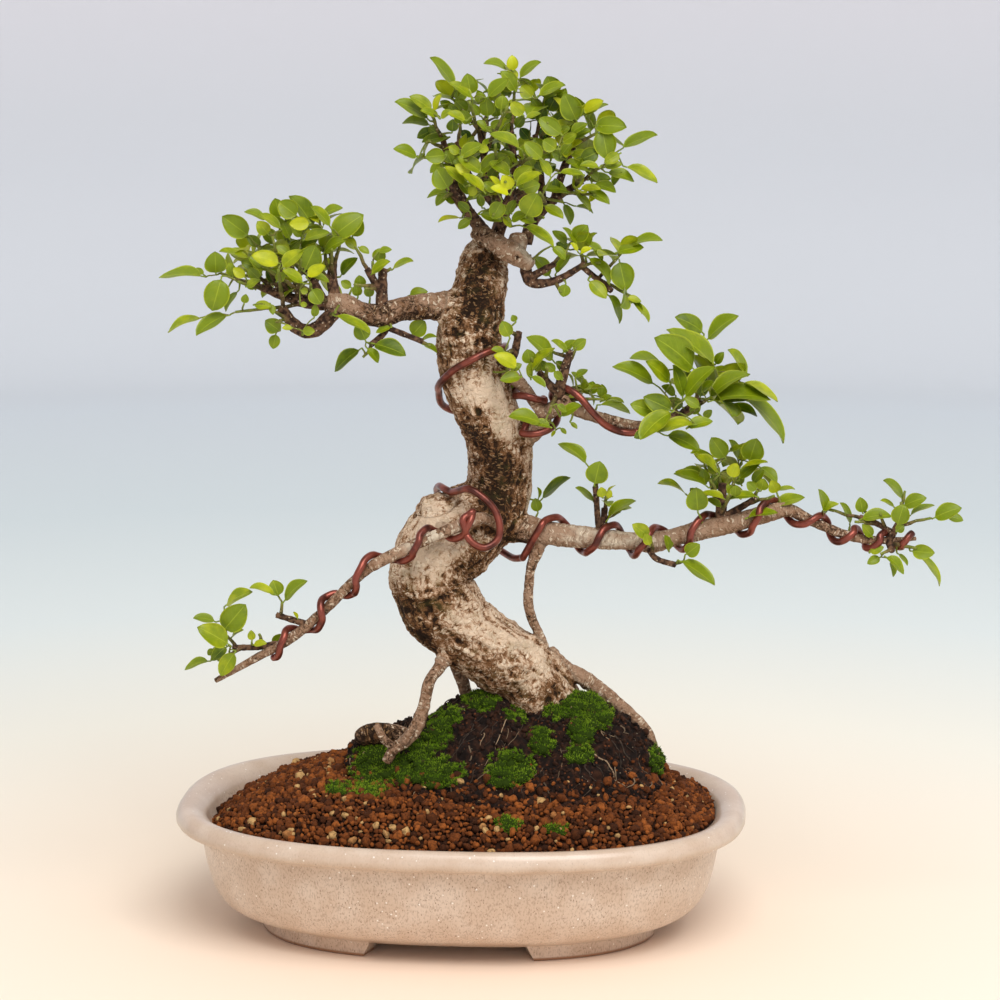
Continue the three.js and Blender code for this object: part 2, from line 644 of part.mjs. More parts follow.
function buildWire(points, grown) {
  const line = new THREE.CatmullRomCurve3(points);
  const reach = WIRE.radius + grown;
  const section = new THREE.Shape(
    range(WIRE.sides).map((k) => {
      const angle = (k / WIRE.sides) * 2 * Math.PI;
      return new THREE.Vector2(reach * Math.cos(angle), reach * Math.sin(angle));
    }),
  );
  const steps = points.length - 1;
  return solidOf(new THREE.ExtrudeGeometry(section, { steps, extrudePath: line, bevelEnabled: false }));
}

function buildWires(grown = 0) {
  const bark = [TRUNK, ...Object.values(WOOD)].map((knots) => stations(knots, 2));
  const low = [
    ...winding(WOOD.lowLeft, LOW_WIRE.leftCrossings, { from: -0.3, to: 0.15 }),
    ...layOn(LOW_WIRE.route, bark),
    ...winding(WOOD.rightBranch, LOW_WIRE.rightCrossings, { from: 0.05, to: 0.2 }),
  ];
  return { wire_low: buildWire(low, grown), wire_high: buildWire(layOn(HIGH_WIRE.route, bark), grown) };
}

// The sprays

// The nearest place to a point on a set of limbs: which limb, and how far along it.
function nearestOn(limbs, place) {
  let best = { distance: Infinity };
  limbs.forEach((knots, which) => {
    let passed = 0;
    for (const i of range(knots.length - 1)) {
      const start = point(knots[i]);
      const line = point(knots[i + 1]).sub(start);
      const share = THREE.MathUtils.clamp(place.clone().sub(start).dot(line) / line.lengthSq(), 0, 1);
      const distance = start.addScaledVector(line, share).distanceTo(place);
      if (distance < best.distance) best = { which, distance, along: passed + share * line.length() };
      passed += line.length();
    }
    if (best.which === which) best.along = Math.min(best.along, passed - TWIG.inset);
  });
  return best;
}

// The place at a distance along a limb, with the limb's radius there.
function placeOn(knots, along) {
  let left = along;
  for (const i of range(knots.length - 1)) {
    const start = point(knots[i]);
    const line = point(knots[i + 1]).sub(start);
    const share = left / line.length();
    if (share <= 1 || i === knots.length - 2) {
      const radius = THREE.MathUtils.lerp(knots[i][3], knots[i + 1][3], share);
      return { at: start.addScaledVector(line, share), radius };
    }
    left -= line.length();
  }
}

// Where a twig leaves its limb: as near as other twigs on the limb let it.
function footOn(limbs, place, taken) {
  const { which, along } = nearestOn(limbs, place);
  const steps = range(40).map((i) => along - i);
  const others = taken.filter((other) => other.which === which);
  const free = steps.find((step) => others.every((other) => Math.abs(other.along - step) >= TWIG.apart));
  const foot = Math.max(free ?? along, 0.3 * along);
  taken.push({ which, along: foot });
  return placeOn(limbs[which], foot);
}

// One leafy shoot: a twig from the nearest limb, with leaves set round its last few millimetres at the
// golden angle, the lowest the longest and flattest.
function shootPlan([x, y, z, count, length], { limbs, rise = SHOOT.rise }, taken, random) {
  const tip = new THREE.Vector3(x, y, z);
  const foot = footOn(limbs, tip, taken);
  const reach = tip.distanceTo(foot.at);
  const heading = tip.clone().sub(foot.at).normalize();
  const axis = heading.clone().addScaledVector(UP, rise).normalize();
  const outward = new THREE.Vector3(1, 0, 0).addScaledVector(axis, -axis.x).normalize();
  const across = axis.clone().cross(outward);
  const start = 2 * Math.PI * random();
  const back = Math.min(SHOOT.leafy, 0.45 * reach);
  const leaves = range(count).map((k) => {
    const share = count > 1 ? k / (count - 1) : 1;
    const around = start + k * radians(LEAF.goldenTurn) + 0.5 * (random() - 0.5);
    const lift = radians(LEAF.lowLift + (LEAF.highLift - LEAF.lowLift) * share + 14 * (random() - 0.5));
    const size = length * (1 - 0.35 * share) * (0.88 + 0.24 * random());
    const curl = radians(20 + 40 * random());
    const out = outward.clone().multiplyScalar(Math.cos(around)).addScaledVector(across, Math.sin(around));
    const along = out.multiplyScalar(Math.cos(lift)).addScaledVector(axis, Math.sin(lift));
    const face = axis.clone().add(UP.clone().multiplyScalar(0.5));
    face.addScaledVector(along, -face.dot(along)).normalize();
    return { base: tip.clone().addScaledVector(heading, (share - 1) * back), along, face, size, curl };
  });
  const thick = Math.min(TWIG.thick, 0.6 * foot.radius);
  const twig = [[foot.at, thick], [tip, TWIG.thin]];
  return { twig: twig.map(([at, radius]) => [at.x, at.y, at.z, radius]), leaves };
}

// A blade with its widest part near the middle, thick along the midrib and thin at the edge, cupped
// along the midrib and curled down towards its tip.
function buildLeaf({ base, along, face, size, curl }, grown = 0) {
  const left = face.clone().cross(along);
  const half = LEAF.halfThickness + grown;
  const place = (share, side, height) => {
    const angle = curl * share;
    const forward = (size * Math.sin(angle)) / curl;
    const sink = (size * (1 - Math.cos(angle))) / curl;
    return base
      .clone()
      .addScaledVector(along, forward + height * Math.sin(angle))
      .addScaledVector(face, height * Math.cos(angle) - sink)
      .addScaledVector(left, side);
  };
  const edge = (share, width) => {
    const side = LEAF.halfWidth * size * width + grown;
    return [place(share, side, LEAF.cup * side), place(share, -side, LEAF.cup * side)];
  };
  const stretch = grown / size;
  const points = [
    place(-stretch, 0, 0),
    place(0.5, 0, half),
    place(0.5, 0, -half),
    ...edge(0.38, 1),
    ...edge(0.72, 0.82),
    place(1 + stretch, 0, 0),
  ];
  const upper = [[0, 4, 1], [0, 1, 3], [1, 4, 6], [1, 5, 3], [1, 6, 7], [1, 7, 5]];
  const lower = upper.map(([a, b, c]) => [a, c, b].map((i) => (i === 1 ? 2 : i)));
  return solidFrom(points, [...upper, ...lower]);
}

function boxesMeet(a, b) {
  const [one, other] = [a.boundingBox(), b.boundingBox()];
  return [0, 1, 2].every((i) => one.min[i] < other.max[i] && other.min[i] < one.max[i]);
}

const shared = (a, b) => (boxesMeet(a, b) ? a.intersect(b).volume() : 0);

// A spray: its limbs and twigs cut clear of the wood and wires, with the leaves that cross nothing.
function buildSpray(spray, seed, keepOut) {
  const random = draws(seed);
  const taken = [];
  const plans = spray.shoots.map((shoot) => shootPlan(shoot, spray, taken, random));
  const woody = (grown) => [
    ...spray.limbs.map((knots) => limb(knots, { sides: 4, step: 30, grown })),
    ...plans.map(({ twig }) => limb(twig, { sides: 3, step: 40, grown })),
  ];
  const stems = woody(0);
  const near = keepOut.filter((other) => stems.some((piece) => boxesMeet(piece, other)));
  const wood = near.length ? join(stems).subtract(join(near)) : join(stems);
  const placed = [];
  const kept = plans.flatMap(({ leaves }) => leaves.slice(0, Math.ceil(LEAF.kept * leaves.length)));
  for (const leaf of kept) {
    const blade = buildLeaf(leaf);
    const others = placed.some((other) => shared(blade, other.blade) > LEAF.crossing);
    if (!others && !keepOut.some((other) => shared(blade, other) > 1e-3)) placed.push({ leaf, blade });
  }
  return {
    solid: largest(join([wood, ...placed.map(({ blade }) => blade)])),
    outline: join([...woody(GAP), ...placed.map(({ leaf }) => buildLeaf(leaf, GAP))]),
  };
}

// The nodes

const bonsai = new THREE.Group();
bonsai.rotation.z = radians(POT.turn);

function addNode(name, solid, look) {
  const { vertProperties, triVerts, numProp } = solid.getMesh();
  const geometry = new THREE.BufferGeometry();
  const positions = new THREE.InterleavedBuffer(vertProperties, numProp);
  geometry.setAttribute("position", new THREE.InterleavedBufferAttribute(positions, 3, 0));
  geometry.setIndex(new THREE.BufferAttribute(triVerts, 1));
  const plain = geometry.toNonIndexed();
  plain.computeVertexNormals();
  const mesh = new THREE.Mesh(plain, new THREE.MeshStandardMaterial({ ...LOOKS[look], flatShading: true }));
  mesh.name = name;
  bonsai.add(mesh);
}

const wood = buildWood();
const woodHole = buildWood(GAP);
const moundHole = buildMound(GAP);
const meshes = { drain_mesh_left: -DRAIN.x, drain_mesh_right: DRAIN.x };
const meshHoles = Object.values(meshes).map((x) => buildDrainMesh(x, { grown: GAP, holes: false }));
const soil = buildSoil(SOIL).subtract(join([moundHole, woodHole, ...meshHoles]));

addNode("pot", buildPot(), "glaze");
Object.entries(meshes).forEach(([name, x]) => addNode(name, buildDrainMesh(x), "plastic"));
addNode("soil", largest(soil), "soil");
addNode("root_mound", largest(buildMound().subtract(woodHole)), "peat");
addNode("trunk", largest(wood), "bark");

Object.entries(MOSS).forEach(([name, runs]) => {
  addNode(name, buildMoss(runs, join([moundHole, woodHole])), "moss");
});

const wires = Object.entries(buildWires());
wires.forEach(([name, wire]) => addNode(name, wire, "wire"));

const wireHoles = Object.values(buildWires(GAP));
const keepOut = [woodHole, ...wireHoles];
Object.entries(SPRAYS).forEach(([name, spray], i) => {
  const { solid, outline } = buildSpray(spray, 101 + i, keepOut);
  addNode(name, solid, "foliage");
  keepOut.push(outline);
});

// The origin goes on the ground under the middle of the whole tree.
const extent = new THREE.Box3().setFromObject(bonsai, true);
bonsai.position.set(-(extent.min.x + extent.max.x) / 2, -(extent.min.y + extent.max.y) / 2, -extent.min.z);

const part = new THREE.Group();
part.add(bonsai);

export default part;
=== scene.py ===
"""A kimmen ficus bonsai in an oval glazed pot: bark, leaves, wires, moss, clay grains and glaze.

Shapes are laid out in millimetres about the middle of the pot's base, as the front of the tree is
seen. `Layout` turns them into the metres of the frame, whose X axis lies along the pot.
"""

from __future__ import annotations

import logging
import math
from collections.abc import Callable, Iterable, Sequence
from dataclasses import dataclass, field
from enum import Enum

import bmesh
import bpy
import numpy as np
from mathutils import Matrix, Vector, noise
from mathutils.bvhtree import BVHTree


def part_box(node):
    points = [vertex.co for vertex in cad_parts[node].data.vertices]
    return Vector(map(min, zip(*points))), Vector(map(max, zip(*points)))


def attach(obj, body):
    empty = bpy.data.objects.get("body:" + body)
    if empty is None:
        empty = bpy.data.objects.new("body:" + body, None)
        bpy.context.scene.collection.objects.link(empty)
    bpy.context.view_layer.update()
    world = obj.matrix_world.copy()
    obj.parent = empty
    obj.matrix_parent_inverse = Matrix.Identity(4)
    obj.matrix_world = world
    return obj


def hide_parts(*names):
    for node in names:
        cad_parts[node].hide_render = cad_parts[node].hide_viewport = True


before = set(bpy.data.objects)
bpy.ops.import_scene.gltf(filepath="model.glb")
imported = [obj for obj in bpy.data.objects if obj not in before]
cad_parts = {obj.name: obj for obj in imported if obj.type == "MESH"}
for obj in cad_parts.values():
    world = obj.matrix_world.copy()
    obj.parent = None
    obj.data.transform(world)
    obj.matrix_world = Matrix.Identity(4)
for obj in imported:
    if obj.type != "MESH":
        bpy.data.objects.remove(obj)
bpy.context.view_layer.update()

LOG = logging.getLogger("bonsai")
BODY = "root"

MM = 0.001
POT_TURN = math.radians(5)
PHOTO_WIDTH = 1000
CELL = 5
GOLDEN_TURN = math.radians(137.5)

Place = tuple[float, float, float]
Colour = tuple[int, int, int]
Outline = tuple[tuple[float, float], ...]
Line = list[list[float]]
Faces = list[tuple[int, ...]]
Taken = dict[tuple[int, int], list[Place]]
Draw = Callable[[], float]
Socket = bpy.types.NodeSocket
Pattern = tuple[Socket, Socket | None]


# Layout and small sums


@dataclass(frozen=True)
class Layout:
    """Where the pot's middle stands in the frame, and how the front view is turned to it."""

    x: float
    y: float

    @classmethod
    def from_frame(cls) -> Layout:
        """Reads the middle of the pot from the frame."""
        low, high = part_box("pot")
        return cls((low.x + high.x) / 2, (low.y + high.y) / 2)

    def place(self, points: np.ndarray) -> np.ndarray:
        """Turns points about the pot into the frame.

        Args:
            points: Rows of x, y and z in millimetres.

        Returns:
            The same rows in the frame, in metres.
        """
        cos, sin = math.cos(POT_TURN), math.sin(POT_TURN)
        x, y, z = points[:, 0] * MM, points[:, 1] * MM, points[:, 2] * MM
        return np.column_stack([x * cos - y * sin + self.x, x * sin + y * cos + self.y, z])


LAYOUT = Layout.from_frame()


def turned_with_pot(points: np.ndarray) -> np.ndarray:
    """Points given along the pot's own axes, in the directions of the front view.

    Args:
        points: Rows of x, y and z.

    Returns:
        Rows of x, y and z.
    """
    cos, sin = math.cos(POT_TURN), math.sin(POT_TURN)
    x, y = points[:, 0], points[:, 1]
    return np.column_stack([x * cos + y * sin, -x * sin + y * cos, points[:, 2]])


def draws(seed: int) -> Draw:
    """A stream of draws from 0 to 1 that repeats for the same seed.

    Args:
        seed: Where the stream starts.

    Returns:
        A function that gives the next draw.
    """
    whole = 0xFFFFFFFF
    state = seed & whole

    def draw() -> float:
        """The next draw."""
        nonlocal state
        state = (state + 0x6D2B79F5) & whole
        mixed = ((state ^ (state >> 15)) * (state | 1)) & whole
        mixed ^= (mixed + (((mixed ^ (mixed >> 7)) * (mixed | 61)) & whole)) & whole
        return (mixed ^ (mixed >> 14)) / 4294967296

    return draw


def unit(vector: np.ndarray) -> np.ndarray:
    """The vector at length one."""
    return vector / max(float(np.linalg.norm(vector)), 1e-9)


def smooth(value: np.ndarray, low: float, high: float) -> np.ndarray:
    """Rises from 0 at low to 1 at high with no corner."""
    share = np.clip((value - low) / (high - low), 0, 1)
    return share * share * (3 - 2 * share)


def lumps(points: np.ndarray, size: float, seed: float = 0.0) -> np.ndarray:
    """Smooth noise from about -1 to 1 whose lumps are `size` millimetres across."""
    return np.array([noise.noise(Vector(p) / size + Vector((seed, 2 * seed, 0))) for p in points])


def smooth_line(knots: Sequence[Sequence[float]], step: float) -> np.ndarray:
    """A smooth line through knots.

    Args:
        knots: Rows that start with x, y and z. Further columns are carried along.
        step: About how far apart the points of the line are.

    Returns:
        Rows like the knots, the first and last knot included.
    """
    rows = np.array(knots, float)
    padded = np.vstack([2 * rows[0] - rows[1], rows, 2 * rows[-1] - rows[-2]])
    found = []
    for i in range(len(rows) - 1):
        before, here, after, beyond = padded[i : i + 4]
        pull = 2 * before - 5 * here + 4 * after - beyond
        bend = 3 * here - before - 3 * after + beyond
        parts = max(1, round(float(np.linalg.norm((after - here)[:3])) / step))
        for share in np.arange(parts) / parts:
            found.append(0.5 * (2 * here + (after - before) * share + pull * share**2 + bend * share**3))
    return np.array([*found, rows[-1]])


def linear(colour: Colour) -> tuple[float, float, float, float]:
    """An everyday 0 to 255 colour as the linear colour that a shader takes.

    Args:
        colour: Red, green and blue.

    Returns:
        Linear red, green and blue, and an alpha of one.
    """

    def channel(value: float) -> float:
        """One channel of the colour."""
        value /= 255
        return value / 12.92 if value <= 0.04045 else ((value + 0.055) / 1.055) ** 2.4

    return (*(channel(value) for value in colour), 1.0)


# Meshes


def placed(name: str, data: bpy.types.ID) -> bpy.types.Object:
    """A new object in the scene.

    Args:
        name: Its name.
        data: What it holds: a mesh, a camera or a light.

    Returns:
        The object.
    """
    made = bpy.data.objects.new(name, data)
    bpy.context.scene.collection.objects.link(made)
    return made


def aimed(thing: bpy.types.Object, place: Place, target: Place) -> None:
    """Puts a camera or a light at a place and turns it to a target.

    Args:
        thing: The camera or light.
        place: Where it goes, in millimetres.
        target: What it is turned to.
    """
    here, there = LAYOUT.place(np.array([place, target]))
    thing.location = here
    thing.rotation_euler = Vector(there - here).to_track_quat("-Z", "Y").to_euler()


def applied(source: bpy.types.Object, *spent: bpy.types.Object) -> bpy.types.Mesh:
    """The mesh that an object's modifiers make. The object and others that it used are removed.

    Args:
        source: The object with the modifiers.
        spent: Others that they used.

    Returns:
        The mesh.
    """
    made = bpy.data.meshes.new_from_object(source.evaluated_get(bpy.context.evaluated_depsgraph_get()))
    for gone in (source, *spent):
        bpy.data.objects.remove(gone)
    return made


@dataclass
class Shape:
    """Points and faces that are gathered in millimetres and become one piece."""

    points: list[np.ndarray] = field(default_factory=list)
    faces: Faces = field(default_factory=list)
    slots: list[int] = field(default_factory=list)
    values: dict[str, list[np.ndarray]] = field(default_factory=dict)
    count: int = 0

    def add(self, points: np.ndarray, faces: Iterable, slot: int = 0, **values: object) -> None:
        """Adds points and the faces between them.

        Args:
            points: Rows of x, y and z.
            faces: Index rows into these points.
            slot: Which of the piece's finishes the faces have.
            values: Numbers for each point, or one for all, kept as attributes. A shape names the
                same ones each time.
        """
        new = [tuple(int(i) + self.count for i in face) for face in faces]
        self.points.append(points)
        self.faces += new
        self.slots += [slot] * len(new)
        for name, value in values.items():
            self.values.setdefault(name, []).append(np.broadcast_to(value, len(points)))
        self.count += len(points)

    def mesh(self, name: str) -> bpy.types.Mesh:
        """The shape as a mesh in the frame's metres.

        Args:
            name: The mesh's name.

        Returns:
            The mesh.
        """
        mesh = bpy.data.meshes.new(name)
        mesh.from_pydata(LAYOUT.place(np.concatenate(self.points)).tolist(), [], self.faces)
        mesh.polygons.foreach_set("material_index", self.slots)
        for key, rows in self.values.items():
            layer = mesh.attributes.new(key, "FLOAT", "POINT")
            layer.data.foreach_set("value", np.concatenate(rows).astype(np.float32))
        return mesh

    def piece(self, node: str, slot: str, *finishes: Finish, sharp: float = 180.0) -> None:
        """Makes the shape into the piece that stands for a CAD node, as `dress` says."""
        dress(self.mesh(node + "_visual"), node, slot, *finishes, sharp=sharp)


def dress(mesh: bpy.types.Mesh, node: str, slot: str, *finishes: Finish, sharp: float = 180.0) -> None:
    """Makes a mesh into the piece that stands for a CAD node, riding on the body.

    Args:
        mesh: The mesh.
        node: The CAD node that it replaces.
        slot: The name of a material slot, which is not used.
        finishes: Its finishes, in the order of its faces' slots.
        sharp: Degrees between faces above which an edge stays sharp.
    """
    for finish in finishes:
        mesh.materials.append(finish.material())
    mesh.shade_smooth()
    if sharp < 180:
        mesh.set_sharp_from_angle(angle=math.radians(sharp))
    piece = placed(mesh.name, mesh)
    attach(piece, BODY)
    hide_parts(node)
    LOG.info("%s: %d faces", piece.name, len(mesh.polygons))


def tube(line: np.ndarray, radii: np.ndarray, sides: int) -> tuple[np.ndarray, Faces]:
    """A round tube along a line, closed at both ends.

    Args:
        line: Rows of x, y and z.
        radii: The radius at each row.
        sides: How many sides its section has.

    Returns:
        Points and faces. Ring i starts at point i * sides, and the last two points are the ends.
    """
    ways = np.gradient(line, axis=0)
    aside = np.array([0.3, -1.0, 0.2])
    angles = np.arange(sides) / sides * 2 * math.pi
    rings = []
    for at, way, radius in zip(line, ways, radii):
        way = unit(way)
        aside = unit(aside - way * float(aside @ way))
        across = np.cross(way, aside)
        rings.append(at + radius * (np.outer(np.cos(angles), aside) + np.outer(np.sin(angles), across)))
    last = (len(line) - 1) * sides
    low, high = last + sides, last + sides + 1
    faces = grid_faces(len(line), sides)
    faces += [(low, (k + 1) % sides, k) for k in range(sides)]
    faces += [(high, last + k, last + (k + 1) % sides) for k in range(sides)]
    ends = [line[0] - unit(ways[0]) * radii[0] * 0.3, line[-1] + unit(ways[-1]) * radii[-1] * 0.3]
    return np.vstack([*rings, ends]), faces


def grid_faces(rows: int, columns: int, closed: bool = True, capped: bool = False) -> Faces:
    """Faces between rows of points.

    Args:
        rows: How many rows there are.
        columns: How many points each row has.
        closed: Whether each row is a ring.
        capped: Whether the first and the last ring are filled.

    Returns:
        The faces.
    """
    faces = [
        (i + k, i + (k + 1) % columns, i + columns + (k + 1) % columns, i + columns + k)
        for i in range(0, (rows - 1) * columns, columns)
        for k in range(columns if closed else columns - 1)
    ]
    if capped:
        last = (rows - 1) * columns
        faces += [tuple(range(columns - 1, -1, -1)), tuple(range(last, last + columns))]
    return faces


def fused(shape: Shape, voxel: float, rounds: int) -> bpy.types.Mesh:
    """Melts a shape's overlapping solids into one skin.

    Args:
        shape: Closed solids that overlap.
        voxel: The size of the new faces, in millimetres.
        rounds: How often the skin is smoothed.

    Returns:
        The new mesh, in the frame's metres.
    """
    source = placed("melting", shape.mesh("melting"))
    remesh = source.modifiers.new("skin", "REMESH")
    remesh.mode = "VOXEL"
    remesh.voxel_size = voxel * MM
    source.modifiers.new("soften", "SMOOTH").iterations = rounds
    return applied(source)


def vertex_rows(mesh: bpy.types.Mesh, layer: str = "vertices") -> np.ndarray:
    """Each vertex's place, or its normal where `layer` is "vertex_normals", as rows.

    Args:
        mesh: The mesh.
        layer: Which of the two.

    Returns:
        Rows of x, y and z.
    """
    found = getattr(mesh, layer)
    rows = np.empty(len(found) * 3, np.float32)
    found.foreach_get("co" if layer == "vertices" else "vector", rows)
    return rows.reshape(-1, 3).astype(float)


def back_to_view(places: np.ndarray) -> np.ndarray:
    """Frame metres back into millimetres about the pot, in the front view's directions."""
    return turned_with_pot((places - np.array([LAYOUT.x, LAYOUT.y, 0])) / MM)


# Effects that several finishes share


class Graph:
    """A node tree with short calls to add and join nodes."""

    def __init__(self, tree: bpy.types.NodeTree) -> None:
        """Wraps the tree that nodes are added to."""
        self.tree = tree

    def feed(self, entry: Socket, value: object) -> None:
        """Gives an input a value, or joins the socket that feeds it.

        Args:
            entry: The input.
            value: The value or the socket.
        """
        if isinstance(value, Socket):
            self.tree.links.new(value, entry)
        else:
            entry.default_value = value

    def add(self, kind: str, inputs: dict | None = None, **settings: object) -> bpy.types.Node:
        """Adds a node.

        Args:
            kind: The node's type, without its leading "ShaderNode".
            inputs: For each input, by name or number, a value or the socket that feeds it.
            settings: Properties of the node itself.

        Returns:
            The node.
        """
        node = self.tree.nodes.new("ShaderNode" + kind)
        for name, value in settings.items():
            setattr(node, name, value)
        for key, value in (inputs or {}).items():
            self.feed(node.inputs[key], value)
        return node

    def sum(self, operation: str, a: object, b: object = 0.0, c: object = 0.0) -> Socket:
        """The result of a Math node."""
        return self.add("Math", {0: a, 1: b, 2: c}, operation=operation).outputs[0]

    def times(self, a: object, b: object) -> Socket:
        """Two numbers multiplied."""
        return self.sum("MULTIPLY", a, b)

    def plus(self, base: object, a: object, b: object) -> Socket:
        """A number with a times b added to it."""
        return self.sum("MULTIPLY_ADD", a, b, base)

    def span(self, value: object, low: object, high: object) -> Socket:
        """A value mapped smoothly from low..high to 0..1."""
        inputs = {"Value": value, "From Min": low, "From Max": high}
        return self.add("MapRange", inputs, interpolation_type="SMOOTHSTEP").outputs["Result"]

    def mix(self, share: object, first: object, second: object) -> Socket:
        """Two colours mixed: the first where share is 0 and the second where it is 1.

        Args:
            share: How much of the second.
            first: A colour or a socket.
            second: Another.

        Returns:
            The mixed colour.
        """
        made = self.add("Mix", {"Factor": share}, data_type="RGBA")
        for key, value in ((6, first), (7, second)):
            self.feed(made.inputs[key], value if isinstance(value, Socket) else linear(value))
        return made.outputs[2]

    def attribute(self, name: str) -> Socket:
        """A number that the mesh holds at each point."""
        return self.add("Attribute", attribute_name=name).outputs["Fac"]

    def place(self) -> Socket:
        """The place in the object's own space, in metres."""
        return self.add("TexCoord").outputs["Object"]

    def stretched(self, vector: Socket, scale: Place) -> Socket:
        """Coordinates scaled along each axis."""
        return self.add("Mapping", {"Vector": vector, "Scale": scale}).outputs[0]

    def mottle(self, vector: Socket, scale: float, low: float, high: float) -> Socket:
        """Soft blotches, as `make_mottle` says."""
        return self.effect(Effect.MOTTLE, Vector=vector, Scale=scale, Low=low, High=high)

    def flecks(self, vector: Socket, scale: float, size: float, share: float) -> Socket:
        """Small specks, as `make_flecks` says."""
        return self.effect(Effect.FLECKS, Vector=vector, Scale=scale, Size=size, Share=share)

    def relief(self, vector: Socket, scale: float, fine: float) -> Socket:
        """A rough height, as `make_relief` says."""
        return self.effect(Effect.RELIEF, Vector=vector, Scale=scale, Fine=fine)

    def effect(self, effect: Effect, **values: object) -> Socket:
        """Places a shared effect, with its inputs by name."""
        return self.add("Group", values, node_tree=effect.group()).outputs[0]


class Effect(Enum):
    """The effects that finishes share, each a node group made once."""

    MOTTLE = "mottle"
    FLECKS = "flecks"
    RELIEF = "relief"

    def group(self) -> bpy.types.NodeTree:
        """The effect's node group, made on first use."""
        makers = {Effect.MOTTLE: make_mottle, Effect.FLECKS: make_flecks, Effect.RELIEF: make_relief}
        return bpy.data.node_groups.get(self.value) or makers[self](self.value)


def new_group(name: str, numbers: Sequence[str], output: str) -> tuple[Graph, dict[str, Socket]]:
    """An empty effect that takes a place, as Vector, and numbers.

    Args:
        name: The group's name.
        numbers: The names of its number inputs.
        output: The output's name.

    Returns:
        A graph to fill it with, and its input sockets by name.
    """
    group = bpy.data.node_groups.new(name, "ShaderNodeTree")
    kinds = {"Vector": "NodeSocketVector"} | {key: "NodeSocketFloat" for key in numbers}
    for key, kind in kinds.items():
        group.interface.new_socket(key, in_out="INPUT", socket_type=kind)
    group.interface.new_socket(output, in_out="OUTPUT", socket_type="NodeSocketFloat")
    entry = group.nodes.new("NodeGroupInput")
    return Graph(group), {key: entry.outputs[key] for key in kinds}


def close_group(graph: Graph, result: Socket) -> bpy.types.NodeTree:
    """Joins a result to an effect's output."""
    graph.feed(graph.tree.nodes.new("NodeGroupOutput").inputs[0], result)
    return graph.tree


def make_mottle(name: str) -> bpy.types.NodeTree:
    """Soft blotches: Scale is blotches to a metre, and Low and High are where the mask starts and ends.

    Args:
        name: The group's name.

    Returns:
        The group.
    """
    graph, entry = new_group(name, ("Scale", "Low", "High"), "Mask")
    cloud = graph.add("TexNoise", {"Vector": entry["Vector"], "Scale": entry["Scale"], "Detail": 4.0})
    return close_group(graph, graph.span(cloud.outputs["Fac"], entry["Low"], entry["High"]))


def make_flecks(name: str) -> bpy.types.NodeTree:
    """Small specks at random places: Size is their share of the spacing, and Share how many there are.

    Args:
        name: The group's name.

    Returns:
        The group.
    """
    graph, entry = new_group(name, ("Scale", "Size", "Share"), "Mask")
    cells = graph.add("TexVoronoi", {"Vector": entry["Vector"], "Scale": entry["Scale"]})
    split = graph.add("SeparateColor", {"Color": cells.outputs["Color"]})
    near = graph.sum("LESS_THAN", cells.outputs["Distance"], entry["Size"])
    chosen = graph.sum("LESS_THAN", split.outputs[0], entry["Share"])
    return close_group(graph, graph.times(near, chosen))


def make_relief(name: str) -> bpy.types.NodeTree:
    """A rough height: Scale is the coarse lumps to a metre, and Fine adds grain five times as small.

    Args:
        name: The group's name.

    Returns:
        The group.
    """
    graph, entry = new_group(name, ("Scale", "Fine"), "Height")
    coarse = graph.add("TexNoise", {"Vector": entry["Vector"], "Scale": entry["Scale"], "Detail": 5.0})
    quick = graph.times(entry["Scale"], 5.0)
    small = graph.add("TexNoise", {"Vector": entry["Vector"], "Scale": quick, "Detail": 3.0})
    return close_group(graph, graph.plus(coarse.outputs["Fac"], small.outputs["Fac"], entry["Fine"]))


# Finishes


@dataclass(frozen=True)
class Finish:
    """A finish, which makes its material once."""

    name: str
    roughness: float = 0.8
    specular: float = 0.5
    bump: float = 0.3
    bump_height: float = 0.5

    def material(self) -> bpy.types.Material:
        """The finish's material, made on first use.

        Returns:
            The material.
        """
        found = bpy.data.materials.get(self.name)
        if found:
            return found
        made = bpy.data.materials.new(self.name)
        made.use_nodes = True
        graph = Graph(made.node_tree)
        shader = made.node_tree.nodes["Principled BSDF"]
        shader.inputs["Roughness"].default_value = self.roughness
        shader.inputs["Specular IOR Level"].default_value = self.specular
        self.set_shader(shader)
        colour, height = self.pattern(graph)
        graph.feed(shader.inputs["Base Color"], colour)
        if height is not None:
            inputs = {"Strength": self.bump, "Distance": self.bump_height * MM, "Height": height}
            graph.feed(shader.inputs["Normal"], graph.add("Bump", inputs).outputs["Normal"])
        return made

    def set_shader(self, shader: bpy.types.Node) -> None:
        """Sets what else is the same all over on the shader itself."""

    def pattern(self, graph: Graph) -> Pattern:
        """The finish's colour and height over the surface.

        Args:
            graph: The material's nodes.

        Returns:
            The colour, and the height or None.
        """
        raise NotImplementedError


